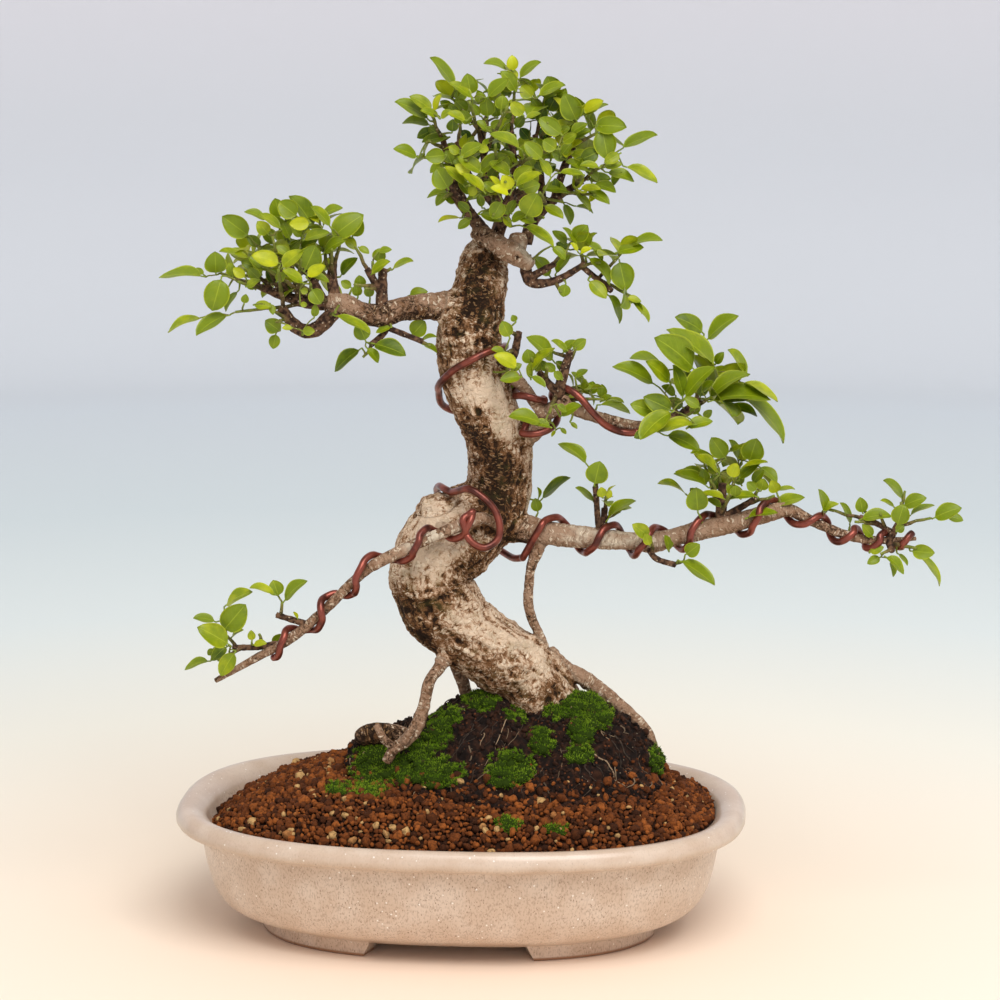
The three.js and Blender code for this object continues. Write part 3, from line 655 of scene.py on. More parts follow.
@dataclass(frozen=True)
class Glaze(Finish):
    """Pale beige glaze with fine dark specks, worn to brown clay under the feet."""

    body: Colour = (200, 176, 154)
    cloud: Colour = (211, 191, 172)
    speck: Colour = (128, 100, 78)
    light_speck: Colour = (240, 234, 226)
    clay: Colour = (150, 108, 78)
    foot_line: float = 1.6
    rim_shade: float = 0.1

    def set_shader(self, shader: bpy.types.Node) -> None:
        """Adds the clear gloss over the glaze."""
        shader.inputs["Coat Weight"].default_value = 0.3
        shader.inputs["Coat Roughness"].default_value = 0.2

    def pattern(self, graph: Graph) -> Pattern:
        """Clouds, fine long specks, a few white ones, and bare clay near the ground.

        Args:
            graph: The material's nodes.

        Returns:
            The colour, and the height or None.
        """
        place = graph.place()
        drawn = graph.stretched(place, (1.0, 1.0, 0.5))
        colour = graph.mix(graph.mottle(place, 60, 0.35, 0.68), self.body, self.cloud)
        height = graph.add("SeparateXYZ", {"Vector": place}).outputs["Z"]
        rim = graph.span(height, 55.5 * MM, 59.0 * MM)
        plain = graph.plus(1.0, rim, -0.72)
        haze = graph.times(graph.mottle(drawn, 1150, 0.44, 0.74), graph.times(plain, 0.5))
        colour = graph.mix(haze, colour, self.speck)
        for scale, size, share in ((1500, 0.3, 0.16), (700, 0.2, 0.12), (380, 0.13, 0.1)):
            shown = graph.times(graph.flecks(drawn, scale, size, share), graph.times(plain, 0.75))
            colour = graph.mix(shown, colour, self.speck)
        bright = graph.times(graph.flecks(place, 420, 0.2, 0.1), 0.8)
        colour = graph.mix(bright, colour, self.light_speck)
        colour = graph.mix(graph.times(rim, self.rim_shade), colour, self.speck)
        bare = graph.span(height, (self.foot_line + 0.8) * MM, (self.foot_line - 0.4) * MM)
        return graph.mix(bare, colour, self.clay), graph.relief(place, 160, 0.3)


@dataclass(frozen=True)
class Plastic(Finish):
    """Dark moulded plastic with a faint grain."""

    dark: Colour = (34, 34, 32)
    light: Colour = (56, 55, 52)

    def pattern(self, graph: Graph) -> Pattern:
        """Faint blotches and a fine grain.

        Args:
            graph: The material's nodes.

        Returns:
            The colour, and the height or None.
        """
        place = graph.place()
        colour = graph.mix(graph.mottle(place, 300, 0.4, 0.7), self.dark, self.light)
        return colour, graph.relief(place, 900, 0.4)


@dataclass(frozen=True)
class ClayGrains(Finish):
    """Baked clay grains: rusty brown, some dark and a few tan or pale, by each grain's own tone."""

    dark: Colour = (38, 18, 6)
    rust: Colour = (102, 53, 21)
    orange: Colour = (148, 82, 34)
    tan: Colour = (192, 152, 98)

    def pattern(self, graph: Graph) -> Pattern:
        """The grain's tone, broken up by stains and a gritty surface.

        Args:
            graph: The material's nodes.

        Returns:
            The colour, and the height or None.
        """
        place = graph.place()
        tone = graph.attribute("tone")
        colour = graph.mix(graph.span(tone, -0.1, 0.4), self.dark, self.rust)
        colour = graph.mix(graph.span(tone, 0.35, 1.0), colour, self.orange)
        colour = graph.mix(graph.span(tone, 0.96, 0.976), colour, self.tan)
        stain = graph.times(graph.mottle(place, 620, 0.4, 0.7), 0.6)
        return graph.mix(stain, colour, self.dark), graph.relief(place, 1100, 0.5)


@dataclass(frozen=True)
class Peat(Finish):
    """Dark wet peat with rusty crumbs and pale flecks."""

    dark: Colour = (20, 11, 7)
    warm: Colour = (62, 36, 22)
    crumb: Colour = (124, 68, 36)
    fleck: Colour = (160, 144, 120)

    def pattern(self, graph: Graph) -> Pattern:
        """Blotches, crumbs and a few pale flecks over a rough surface.

        Args:
            graph: The material's nodes.

        Returns:
            The colour, and the height or None.
        """
        place = graph.place()
        share = graph.plus(graph.mottle(place, 260, 0.42, 0.78), graph.attribute("tone"), 0.7)
        colour = graph.mix(share, self.dark, self.warm)
        colour = graph.mix(graph.times(graph.flecks(place, 520, 0.3, 0.14), 0.6), colour, self.crumb)
        colour = graph.mix(graph.times(graph.flecks(place, 700, 0.18, 0.05), 0.7), colour, self.fleck)
        return colour, graph.relief(place, 420, 0.5)


@dataclass(frozen=True)
class Fibre(Finish):
    """Fine roots, from dark brown to straw by each root's own tone."""

    dark: Colour = (34, 22, 15)
    straw: Colour = (168, 140, 108)

    def pattern(self, graph: Graph) -> Pattern:
        """The root's tone with short bands.

        Args:
            graph: The material's nodes.

        Returns:
            The colour, and the height or None.
        """
        place = graph.place()
        bands = graph.mottle(place, 700, 0.35, 0.7)
        tone = graph.plus(graph.times(graph.attribute("tone"), 0.9), bands, 0.12)
        return graph.mix(tone, self.dark, self.straw), graph.relief(place, 900, 0.4)


@dataclass(frozen=True)
class Moss(Finish):
    """Moss whose tufts are dark at the root and yellow-green at the tip."""

    root: Colour = (30, 42, 4)
    leaf: Colour = (84, 116, 12)
    tip: Colour = (162, 190, 52)

    def pattern(self, graph: Graph) -> Pattern:
        """Root to tip along each tuft, in clumps of different age.

        Args:
            graph: The material's nodes.

        Returns:
            The colour, and the height or None.
        """
        place = graph.place()
        along = graph.attribute("along")
        age = graph.plus(0.1, graph.mottle(place, 90, 0.36, 0.66), 0.8)
        colour = graph.mix(graph.span(along, 0.0, 0.7), self.root, self.leaf)
        ripe = graph.times(graph.span(along, 0.35, 1.0), age)
        return graph.mix(ripe, colour, self.tip), graph.relief(place, 800, 0.5)


@dataclass(frozen=True)
class Bark(Finish):
    """Rough bark: tan scales over dark cracks, blackened in patches and by painted shade, with fine rings
    on branches.
    """

    pale: Colour = (212, 187, 160)
    tan: Colour = (174, 140, 110)
    brown: Colour = (112, 76, 46)
    black: Colour = (38, 24, 13)
    branch: Colour = (150, 118, 94)
    flake: Colour = (232, 214, 188)
    dusty: Colour = (162, 124, 84)
    bare: Colour = (204, 190, 168)
    algae: Colour = (92, 88, 44)

    def pattern(self, graph: Graph) -> Pattern:
        """Scales, cracks, patches and lenticels, led by how dark each place is: the bark's own weathering,
        painted shade on undersides, in grooves and hollows, and a painted highlight on crests.

        Args:
            graph: The material's nodes.

        Returns:
            The colour, and the height or None.
        """
        place = graph.place()
        weather, branch = graph.attribute("weather"), graph.attribute("branch")
        grain = graph.add("CombineXYZ", {key: graph.attribute("grain_" + key) for key in "XYZ"}).outputs[0]
        wobble = graph.add("TexNoise", {"Vector": place, "Scale": 260.0, "Detail": 3.0}).outputs["Color"]
        pulled = graph.add("Mix", {"Factor": 0.005, 4: grain, 5: wobble}, data_type="VECTOR").outputs[1]
        drawn = graph.stretched(pulled, (1.0, 1.0, 0.75))
        scales = graph.add("TexVoronoi", {"Vector": drawn, "Scale": 460.0}, feature="DISTANCE_TO_EDGE")
        crack = graph.span(scales.outputs["Distance"], 0.18, 0.02)
        speckle = graph.mottle(drawn, 640, 0.32, 0.68)
        # The weather value holds the bark's own darkness, with painted shade on undersides, in grooves and
        # hollows, and a painted highlight on crests.
        dark = graph.plus(weather, graph.sum("SUBTRACT", graph.mottle(place, 95, 0.3, 0.7), 0.5), 0.4)
        dark = graph.plus(dark, graph.sum("SUBTRACT", speckle, 0.5), 0.5)
        dark = graph.plus(dark, graph.sum("SUBTRACT", graph.mottle(place, 1500, 0.3, 0.7), 0.5), 0.26)
        dark = graph.plus(dark, crack, 0.2)
        colour = graph.mix(graph.span(dark, -0.1, 0.4), self.pale, self.tan)
        colour = graph.mix(graph.span(dark, 0.2, 0.65), colour, self.brown)
        colour = graph.mix(graph.span(dark, 0.6, 1.1), colour, self.black)
        colour = graph.mix(graph.times(graph.mottle(place, 130, 0.5, 0.74), 0.3), colour, self.algae)
        warm = graph.mix(graph.span(dark, 0.3, 1.05), self.branch, self.black)
        warm = graph.mix(graph.span(weather, -0.3, -0.8), warm, self.bare)
        colour = graph.mix(graph.times(branch, 0.85), colour, warm)
        ringed = graph.stretched(pulled, (0.32, 0.32, 1.1))
        rings = graph.mottle(ringed, 620, 0.5, 0.66)
        colour = graph.mix(graph.times(rings, graph.plus(0.14, branch, 0.4)), colour, self.brown)
        light = graph.mix(graph.span(dark, 0.45, 1.0), self.flake, self.dusty)
        fine = graph.flecks(ringed, 900, 0.36, 0.4)
        colour = graph.mix(graph.times(fine, 0.55), colour, light)
        broad = graph.flecks(ringed, 560, 0.3, 0.2)
        colour = graph.mix(graph.times(broad, 0.65), colour, light)
        height = graph.plus(graph.relief(place, 460, 0.6), crack, -0.5)
        height = graph.plus(height, graph.sum("MAXIMUM", fine, broad), 0.35)
        return colour, graph.plus(graph.plus(height, rings, -0.5), speckle, -0.45)


@dataclass(frozen=True)
class TwigBark(Finish):
    """Scaly brown twigs that turn green towards their leaves."""

    dark: Colour = (44, 27, 18)
    brown: Colour = (110, 80, 58)
    scar: Colour = (196, 176, 148)
    green: Colour = (128, 144, 50)

    def pattern(self, graph: Graph) -> Pattern:
        """Blotches and scars, then green where the twig is young.

        Args:
            graph: The material's nodes.

        Returns:
            The colour, and the height or None.
        """
        place = graph.place()
        colour = graph.mix(graph.mottle(place, 460, 0.36, 0.66), self.dark, self.brown)
        colour = graph.mix(graph.times(graph.flecks(place, 700, 0.3, 0.22), 0.6), colour, self.scar)
        return graph.mix(graph.attribute("green"), colour, self.green), graph.relief(place, 700, 0.5)


@dataclass(frozen=True)
class LeafSkin(Finish):
    """Waxy leaves: deep green to yellow by each leaf's tone, with a light margin, midrib and veins. The
    deep green of leaves set inside the crown is painted shade.
    """

    deep: Colour = (46, 68, 3)
    fresh: Colour = (110, 125, 4)
    young: Colour = (178, 180, 14)
    light: Colour = (178, 188, 50)
    veins: float = 7.0

    def set_shader(self, shader: bpy.types.Node) -> None:
        """Adds the wax and the light that passes through the blade."""
        shader.inputs["Coat Weight"].default_value = 0.06
        shader.inputs["Coat Roughness"].default_value = 0.25
        shader.inputs["Subsurface Weight"].default_value = 0.15
        shader.inputs["Subsurface Radius"].default_value = (0.7, 1.0, 0.12)
        shader.inputs["Subsurface Scale"].default_value = 0.0015

    def pattern(self, graph: Graph) -> Pattern:
        """The blade's tone, with margin, midrib and side veins drawn along its own directions.

        Args:
            graph: The material's nodes.

        Returns:
            The colour, and the height or None.
        """
        side = graph.sum("ABSOLUTE", graph.attribute("side"))
        shift = graph.sum("SUBTRACT", graph.mottle(graph.place(), 160, 0.3, 0.7), 0.5)
        tone = graph.plus(graph.attribute("tone"), shift, 0.2)
        colour = graph.mix(graph.span(tone, 0.0, 0.5), self.deep, self.fresh)
        colour = graph.mix(graph.span(tone, 0.5, 1.0), colour, self.young)
        turn = graph.plus(graph.times(graph.attribute("along"), self.veins), side, -2.2)
        vein = graph.span(graph.sum("PINGPONG", turn, 0.5), 0.08, 0.0)
        rib = graph.span(side, 0.06, 0.02)
        margin = graph.span(side, 0.86, 0.97)
        colour = graph.mix(graph.times(vein, 0.07), colour, self.light)
        lined = graph.sum("MAXIMUM", graph.times(rib, 0.35), graph.times(margin, 0.62))
        colour = graph.mix(lined, colour, self.light)
        colour = graph.mix(graph.times(graph.attribute("under"), 0.22), colour, self.light)
        return colour, graph.sum("ADD", graph.times(vein, -0.4), graph.times(rib, -0.8))


@dataclass(frozen=True)
class CopperWire(Finish):
    """Copper-coloured wire, glossy, darker where it is handled."""

    bright: Colour = (132, 66, 52)
    dull: Colour = (78, 38, 30)

    def set_shader(self, shader: bpy.types.Node) -> None:
        """Makes it metal."""
        shader.inputs["Metallic"].default_value = 0.6

    def pattern(self, graph: Graph) -> Pattern:
        """Dull blotches and fine drawing marks.

        Args:
            graph: The material's nodes.

        Returns:
            The colour, and the height or None.
        """
        place = graph.place()
        colour = graph.mix(graph.mottle(place, 120, 0.4, 0.7), self.bright, self.dull)
        return colour, graph.relief(place, 500, 0.3)


GLAZE = Glaze("speckled_glaze", roughness=0.34, bump=0.12, bump_height=0.4)
PLASTIC = Plastic("drain_plastic", roughness=0.6, bump=0.1, bump_height=0.2)
GRAINS = ClayGrains("clay_grains", roughness=0.95, specular=0.2, bump=0.5, bump_height=0.4)
PEAT = Peat("dark_peat", roughness=0.95, specular=0.22, bump=0.8, bump_height=1.0)
FIBRE = Fibre("fine_roots", roughness=0.85, bump=0.3, bump_height=0.2)
MOSS = Moss("green_moss", roughness=0.9, specular=0.12, bump=0.3, bump_height=0.4)
BARK = Bark("rough_bark", roughness=0.92, specular=0.18, bump=0.7, bump_height=0.9)
TWIG_BARK = TwigBark("twig_bark", roughness=0.85, specular=0.25, bump=0.5, bump_height=0.5)
LEAF_SKIN = LeafSkin("waxy_leaf", roughness=0.42, specular=0.28, bump=0.25, bump_height=0.3)
COPPER = CopperWire("copper_wire", roughness=0.3, bump=0.08, bump_height=0.2)


# Where the tree's wood runs. Each knot is [x, y, z, radius].

TRUNK: Line = [
    [58, 9, 90, 20], [50, 8, 101, 20.5], [38, 6, 122, 19.5], [25, 2, 137, 19], [13, -2, 148, 18.5],
    [-1, -5, 158, 19], [-11, -6, 170, 20], [-16, -6, 182, 20.5], [-14, -4, 194, 21.5], [-6, 0, 204, 22.5],
    [6, 4, 212, 21.5], [15, 6, 221, 19], [19, 6, 231, 16.5], [20, 5, 246, 16], [16, 1, 263, 16],
    [10, -2, 277, 15.5], [5, -4, 292, 15.2], [4, -3, 309, 16], [7, -1, 322, 14.5], [12, 5, 346, 12],
    [15, 7, 357, 8.5], [16, 8, 362, 5],
]

LIMBS: dict[str, Line] = {
    "cut_lobe": [[-6, 0, 203, 18.5], [-9, -2, 217, 14.5], [-9.5, -2, 226, 10]],
    "crown_knob": [
        [8, -3, 364, 4.6], [15, -9, 360, 5], [22, -13, 356, 5], [29, -13, 352, 5.2], [36, -11, 347, 3.8],
    ],
    "crown_stub": [[27, -10, 352, 5.2], [29, -8, 358, 5.2], [29.5, -6, 362, 4.6]],
    "left_branch": [
        [6, -1, 328, 8], [-8, -4, 326, 7], [-18, -8, 326, 6.5], [-30, -12, 325, 6], [-40, -16, 322, 6],
        [-50, -18, 324, 5.5], [-58, -18, 328, 5.5], [-67, -18, 330, 4.5],
    ],
    "upper_right": [
        [18, 3, 254, 8], [31, 1, 258, 6.5], [40, -2, 263, 5], [44, -5, 271, 4.5], [53, -8, 275, 4],
        [63, -8, 271, 3.5], [78, -9, 267, 3], [93, -11, 265, 2.5], [112, -13, 271, 2],
    ],
    "upper_right_second": [
        [14, -2, 295, 4], [24, -5, 291, 3.5], [32, -8, 285, 3], [37, -9, 278, 3], [43, -8, 269, 2.5],
    ],
    "right_branch": [
        [19, 1, 211, 8.5], [36, -2, 209, 7], [54, -6, 207, 6], [72, -9, 206, 5.5], [87, -11, 205, 5],
        [100, -13, 205, 5], [114, -15, 209, 5], [140, -18, 216, 5], [161, -20, 222, 4],
        [168, -20, 223, 3.5], [174, -20, 220, 3], [184, -20, 215, 2.5], [200, -20, 209, 2.5],
        [216, -20, 207, 2], [233, -20, 208, 1],
    ],
    "low_left": [
        [20, -6, 208, 4], [17, -17, 215, 3.5], [11, -25, 219, 3.5], [4, -29, 218, 3.5], [-10, -33, 213, 3],
        [-25, -36, 207, 3], [-40, -39, 200, 3], [-48, -40, 195, 2.5], [-56, -41, 188, 2.5],
        [-70, -42, 174, 2.5], [-86, -44, 161, 2.5], [-104, -46, 151, 2], [-124, -48, 140, 1.3],
    ],
    "aerial_right": [
        [42, -3, 206, 4], [39, -5, 198, 3.5], [36, -6, 189, 2.5], [35, -6, 178, 2.5], [35, -5, 170, 2.5],
        [37, -4, 162, 2.5], [40, -2, 155, 2.5], [43, 2, 145, 3],
    ],
    "root_left": [
        [-5, -8, 152, 6], [-10, -20, 142, 3.6], [-16, -29, 135, 2.9], [-19, -31, 122, 3.1],
        [-23, -34, 112, 3.6], [-29, -37, 105, 3.4], [-34, -38, 102, 2.9], [-38, -38, 95, 2.4],
    ],
    "root_left_horn": [[-33, -38, 102, 2.3], [-39, -39, 107, 2.2], [-43, -38, 114.5, 1.7]],
    "root_left_finger": [[-30, -38, 104, 2.4], [-26, -39, 110, 2.1], [-23, -38, 116, 1.6]],
    "root_left_log": [
        [-22, -18, 101, 4.4], [-33, -17, 104, 5], [-43, -17, 105, 5.6], [-49, -17, 104, 5.6],
        [-52.5, -17, 103, 4.4], [-54.5, -17, 102.5, 2.8],
    ],
    "root_left_back": [[-5, 6, 143, 5], [-2, 10, 132, 3.5], [1, 12, 124, 3.5], [4, 14, 112, 3.5]],
    "root_right": [
        [44, 4, 141, 7], [53, 5, 134, 5], [64, 6, 128, 4.5], [75, 6, 120, 4], [84, 5, 113, 4],
        [92, 4, 106, 3.5], [98, 3, 99, 3], [102, 2, 88, 2.5],
    ],
    "root_back": [[46, 14, 120, 12], [36, 34, 113, 6], [28, 46, 102, 4], [24, 54, 90, 3]],
}

POT_OUTSIDE = [
    [42, 8], [27, 14], [20, 22], [16, 34], [12, 53], [7, 54.5], [1, 57], [0, 60.5], [2, 64.5],
    [5.5, 66], [10, 65.3],
]
POT_INSIDE = [[15, 62], [19, 50], [23, 30], [38, 15]]


def limb_rows(names: Iterable[str], step: float = 2.0) -> np.ndarray:
    """Stations along the trunk, as "trunk", and along limbs.

    Args:
        names: Which of them.
        step: Their spacing.

    Returns:
        Rows of x, y, z and radius.
    """
    return np.vstack([smooth_line(TRUNK if name == "trunk" else LIMBS[name], step) for name in names])


# The camera and the light


@dataclass(frozen=True)
class PhotoCamera:
    """The camera, where the photo was taken from."""

    place: Place = (20.2, -1575.7, 502.3)
    target: Place = (20.2, 0.0, 224.5)
    focal: float = 111.4
    sensor: float = 36.0

    def build(self) -> None:
        """Adds the camera and makes it the scene's own."""
        data = bpy.data.cameras.new("photo_camera")
        data.lens = self.focal
        data.clip_end = 20
        camera = placed("photo_camera", data)
        aimed(camera, self.place, self.target)
        bpy.context.scene.camera = camera

    def axes(self) -> tuple[np.ndarray, np.ndarray]:
        """The eye, and unit rows to the right, down and ahead.

        Returns:
            The eye, and the three rows.
        """
        eye = np.array(self.place)
        ahead = unit(np.array(self.target) - eye)
        right = unit(np.cross(ahead, [0, 0, 1]))
        return eye, np.array([right, np.cross(ahead, right), ahead])

    def pixels(self) -> float:
        """How many of the photo's pixels a thing as wide as its distance takes."""
        return self.focal / self.sensor * PHOTO_WIDTH


PHOTO = PhotoCamera()


def seen_at(points: np.ndarray) -> np.ndarray:
    """Where points lie in the photo, in its own pixels.

    Args:
        points: Rows of x, y and z in millimetres.

    Returns:
        Rows of pixels across and down.
    """
    eye, axes = PHOTO.axes()
    away = (points - eye) @ axes.T
    return away[:, :2] / away[:, 2:] * PHOTO.pixels() + PHOTO_WIDTH / 2


def photo_spot(across: float, down: float, y: float) -> np.ndarray:
    """The place that the photo shows at a pixel.

    Args:
        across: The pixel's place across the photo.
        down: Its place down the photo.
        y: How far back the place is, in millimetres.

    Returns:
        Its x, y and z in millimetres.
    """
    eye, axes = PHOTO.axes()
    ray = np.array([across - PHOTO_WIDTH / 2, down - PHOTO_WIDTH / 2, PHOTO.pixels()]) @ axes
    return eye + ray * (y - eye[1]) / ray[1]


@dataclass(frozen=True)
class Backdrop(Finish):
    """Paper that turns from warm cream near the pot to cool grey further away."""

    tones: tuple[tuple[float, Colour], ...] = (
        (0.0, (244, 217, 194)), (0.2, (243, 226, 206)), (0.48, (237, 234, 222)), (0.8, (224, 232, 231)),
        (1.25, (216, 227, 230)), (1.9, (220, 229, 235)), (2.5, (221, 222, 226)), (3.2, (243, 229, 234)),
    )

    def pattern(self, graph: Graph) -> Pattern:
        """Tones by how far over the floor, and then up the wall, a place is.

        Args:
            graph: The material's nodes.

        Returns:
            The colour, and the height or None.
        """
        farthest = self.tones[-1][0]
        ramp = graph.add("ValToRGB", {"Fac": graph.sum("DIVIDE", graph.attribute("reach"), farthest)})
        marks = ramp.color_ramp.elements
        for i, (reach, colour) in enumerate(self.tones):
            inner = 0 < i < len(self.tones) - 1
            mark = marks.new(reach / farthest) if inner else marks[0 if i == 0 else -1]
            mark.position = reach / farthest
            mark.color = linear(colour)
        return ramp.outputs["Color"], None


@dataclass
class Studio:
    """A pale sweep all round the tree, an even sky, and one large soft light."""

    floor_radius: float = 2050.0
    fillet: float = 250.0
    wall: float = 1100.0
    sectors: int = 96
    sky: float = 0.655
    sky_colour: tuple[float, ...] = (1.0, 0.985, 0.97, 1.0)
    key_power: float = 47.0
    key_place: Place = (450.0, -1350.0, 2000.0)
    key_target: Place = (0.0, 0.0, 200.0)
    key_size: float = 1.6

    def build(self) -> None:
        """Adds the sweep and the light, and keeps the colours as they are."""
        self.add_sweep()
        self.add_light()
        bpy.context.scene.view_settings.view_transform = "Standard"

    def add_sweep(self) -> None:
        """Adds the floor that bends up into a low wall."""
        profile = [(r, 0.0) for r in np.linspace(1, self.floor_radius, 40)]
        profile += [
            (self.floor_radius + self.fillet * math.sin(a), self.fillet * (1 - math.cos(a)))
            for a in np.linspace(0, math.pi / 2, 16)[1:]
        ]
        top = self.floor_radius + self.fillet
        profile += [(top, z) for z in np.linspace(self.fillet + 50, self.wall, 12)]
        angles = np.arange(self.sectors) / self.sectors * 2 * math.pi
        way = np.column_stack([np.cos(angles), np.sin(angles)])
        rings = [np.column_stack([way * radius, np.full(self.sectors, z)]) for radius, z in profile]
        passed = np.cumsum([0.0, *(math.dist(*pair) for pair in zip(profile, profile[1:]))])
        shape = Shape()
        faces = [*grid_faces(len(profile), self.sectors), tuple(range(self.sectors - 1, -1, -1))]
        shape.add(np.vstack(rings), faces, reach=np.repeat(passed * MM, self.sectors))
        mesh = shape.mesh("backdrop")
        mesh.flip_normals()
        mesh.materials.append(Backdrop("backdrop_paper", roughness=0.9).material())
        mesh.shade_smooth()
        placed("backdrop", mesh)

    def add_light(self) -> None:
        """Adds the even sky and the soft key."""
        world = bpy.data.worlds.new("even_sky")
        world.use_nodes = True
        background = world.node_tree.nodes["Background"]
        background.inputs["Color"].default_value = self.sky_colour
        background.inputs["Strength"].default_value = self.sky
        bpy.context.scene.world = world
        data = bpy.data.lights.new("soft_key", "AREA")
        data.energy = self.key_power
        data.size = self.key_size
        aimed(placed("soft_key", data), self.key_place, self.key_target)


# The pot


def oval(half_length: float, half_depth: float, height: float, sectors: int = 144) -> np.ndarray:
    """A ring of the pot's oval, in the directions of the front view."""
    angles = np.arange(sectors) / sectors * 2 * math.pi
    return turned_with_pot(oval_points(half_length, half_depth, height, angles))


def oval_points(half_length: float, half_depth: float, height: object, angles: np.ndarray) -> np.ndarray:
    """Points of the pot's oval at given angles, along the pot's own axes.

    Args:
        half_length: Half its length.
        half_depth: Half its depth.
        height: How high it lies, in all or at each angle.
        angles: Where on it the points are.

    Returns:
        Rows of x, y and z.
    """
    power = 2 / Pot.squareness
    x = np.sign(np.cos(angles)) * np.abs(np.cos(angles)) ** power * half_length
    y = np.sign(np.sin(angles)) * np.abs(np.sin(angles)) ** power * half_depth
    return np.column_stack([x, y, np.broadcast_to(height, len(angles))])


@dataclass
class Pot:
    """The oval pot: its wall with a rolled lip, four low feet and two drain holes under mesh."""

    half_length: float = 149.0
    half_depth: float = 106.0
    side_step: float = 0.78
    squareness: float = 2.5
    drain: float = 60.0
    drain_radius: float = 11.0
    foot_half_length: float = 105.0
    foot_half_depth: float = 73.0
    foot_from_x: float = 44.0
    foot_from_y: float = 23.0
    foot_lean: float = 0.5
    foot_taper: float = 1.2
    foot_stations: int = 26
    foot_section: Outline = ((0.9, 0), (0, 1.2), (0, 6), (-1.5, 10.5), (13, 10.5), (13, 0))
    sheet_half: float = 16.0
    sheet_height: float = 15.85
    strands: int = 13
    strand: float = 0.55

    def build(self) -> None:
        """Adds the pot and its drain meshes."""
        shape = Shape()
        self.add_bowl(shape)
        for quarter in range(4):
            self.add_foot(shape, quarter)
        dress(self.cut_drains(shape), "pot", "pot_glaze", GLAZE, sharp=60)
        self.add_drain_mesh("drain_mesh_left", -self.drain)
        self.add_drain_mesh("drain_mesh_right", self.drain)

    def add_bowl(self, shape: Shape) -> None:
        """Adds the wall and floor as one closed skin.

        Args:
            shape: Where it is added.
        """
        wall = smooth_line([[step, 0, z] for step, z in POT_OUTSIDE], 2.0)[:, [0, 2]]
        inner = smooth_line([[step, 0, z] for step, z in POT_INSIDE], 4.0)[:, [0, 2]]
        rings = [
            oval(self.half_length - step, self.half_depth - self.side_step * step, z)
            for step, z in [*wall, *inner]
        ]
        shares = np.linspace(0.04, 0.96, 10)
        under = [rings[0] * (share, share, 1) for share in shares]
        floor = [rings[-1] * (share, share, 1) for share in shares[::-1]]
        rings = [*under, *rings, *floor]
        shape.add(np.vstack(rings), grid_faces(len(rings), len(rings[0]), capped=True))

    def add_foot(self, shape: Shape, quarter: int) -> None:
        """Adds one foot: a short length of a low ring, with sloped ends.

        Args:
            shape: Where it is added.
            quarter: Which foot, from 0 to 3.
        """
        signs = np.array([1 if quarter in (0, 3) else -1, 1 if quarter < 2 else -1, 1])
        power, rows = self.squareness / 2, []
        width = self.foot_section[-1][0]
        last = math.asin((self.foot_from_y / self.foot_half_depth) ** power)
        for share in np.linspace(0, 1, self.foot_stations):
            for step, height in self.foot_section:
                edge = self.foot_from_x - self.foot_lean * height + self.foot_taper * step / width
                first = math.acos(min(1.0, edge / self.foot_half_length) ** power)
                angle = np.array([last + (first - last) * share])
                outer = self.foot_half_length - step, self.foot_half_depth - step
                rows.append(oval_points(*outer, height, angle)[0] * signs)
        faces = grid_faces(self.foot_stations, len(self.foot_section), capped=True)
        if signs[0] * signs[1] < 0:
            faces = [face[::-1] for face in faces]
        shape.add(turned_with_pot(np.array(rows)), faces)

    def cut_drains(self, shape: Shape) -> bpy.types.Mesh:
        """The pot's mesh with its drain holes cut.

        Args:
            shape: The pot with no holes.

        Returns:
            The mesh.
        """
        holes = Shape()
        for x in (-self.drain, self.drain):
            line = turned_with_pot(np.array([[x, 0, 2.0], [x, 0, 20.0]]))
            holes.add(*tube(line, np.full(2, self.drain_radius), 40))
        piece = placed("pot_uncut", shape.mesh("pot_uncut"))
        cutter = placed("drains", holes.mesh("drains"))
        cut = piece.modifiers.new("drains", "BOOLEAN")
        cut.operation = "DIFFERENCE"
        cut.object = cutter
        made = applied(piece, cutter)
        made.name = "pot_visual"
        return made

    def add_drain_mesh(self, node: str, x: float) -> None:
        """Adds a square of fine plastic mesh over a drain hole.

        Args:
            node: The CAD node that it replaces.
            x: The hole's place along the pot.
        """
        shape, half = Shape(), self.sheet_half
        for offset in np.linspace(-half + 0.7, half - 0.7, self.strands):
            for along in (0, 1):
                z = self.sheet_height + 0.1 * along
                ends = [[x + offset, -half, z], [x + offset, half, z]]
                if along:
                    ends = [[x - half, offset, z], [x + half, offset, z]]
                shape.add(*tube(turned_with_pot(np.array(ends)), np.full(2, self.strand), 6))
        shape.piece(node, "drain_plastic", PLASTIC, sharp=50)


# What fills the pot


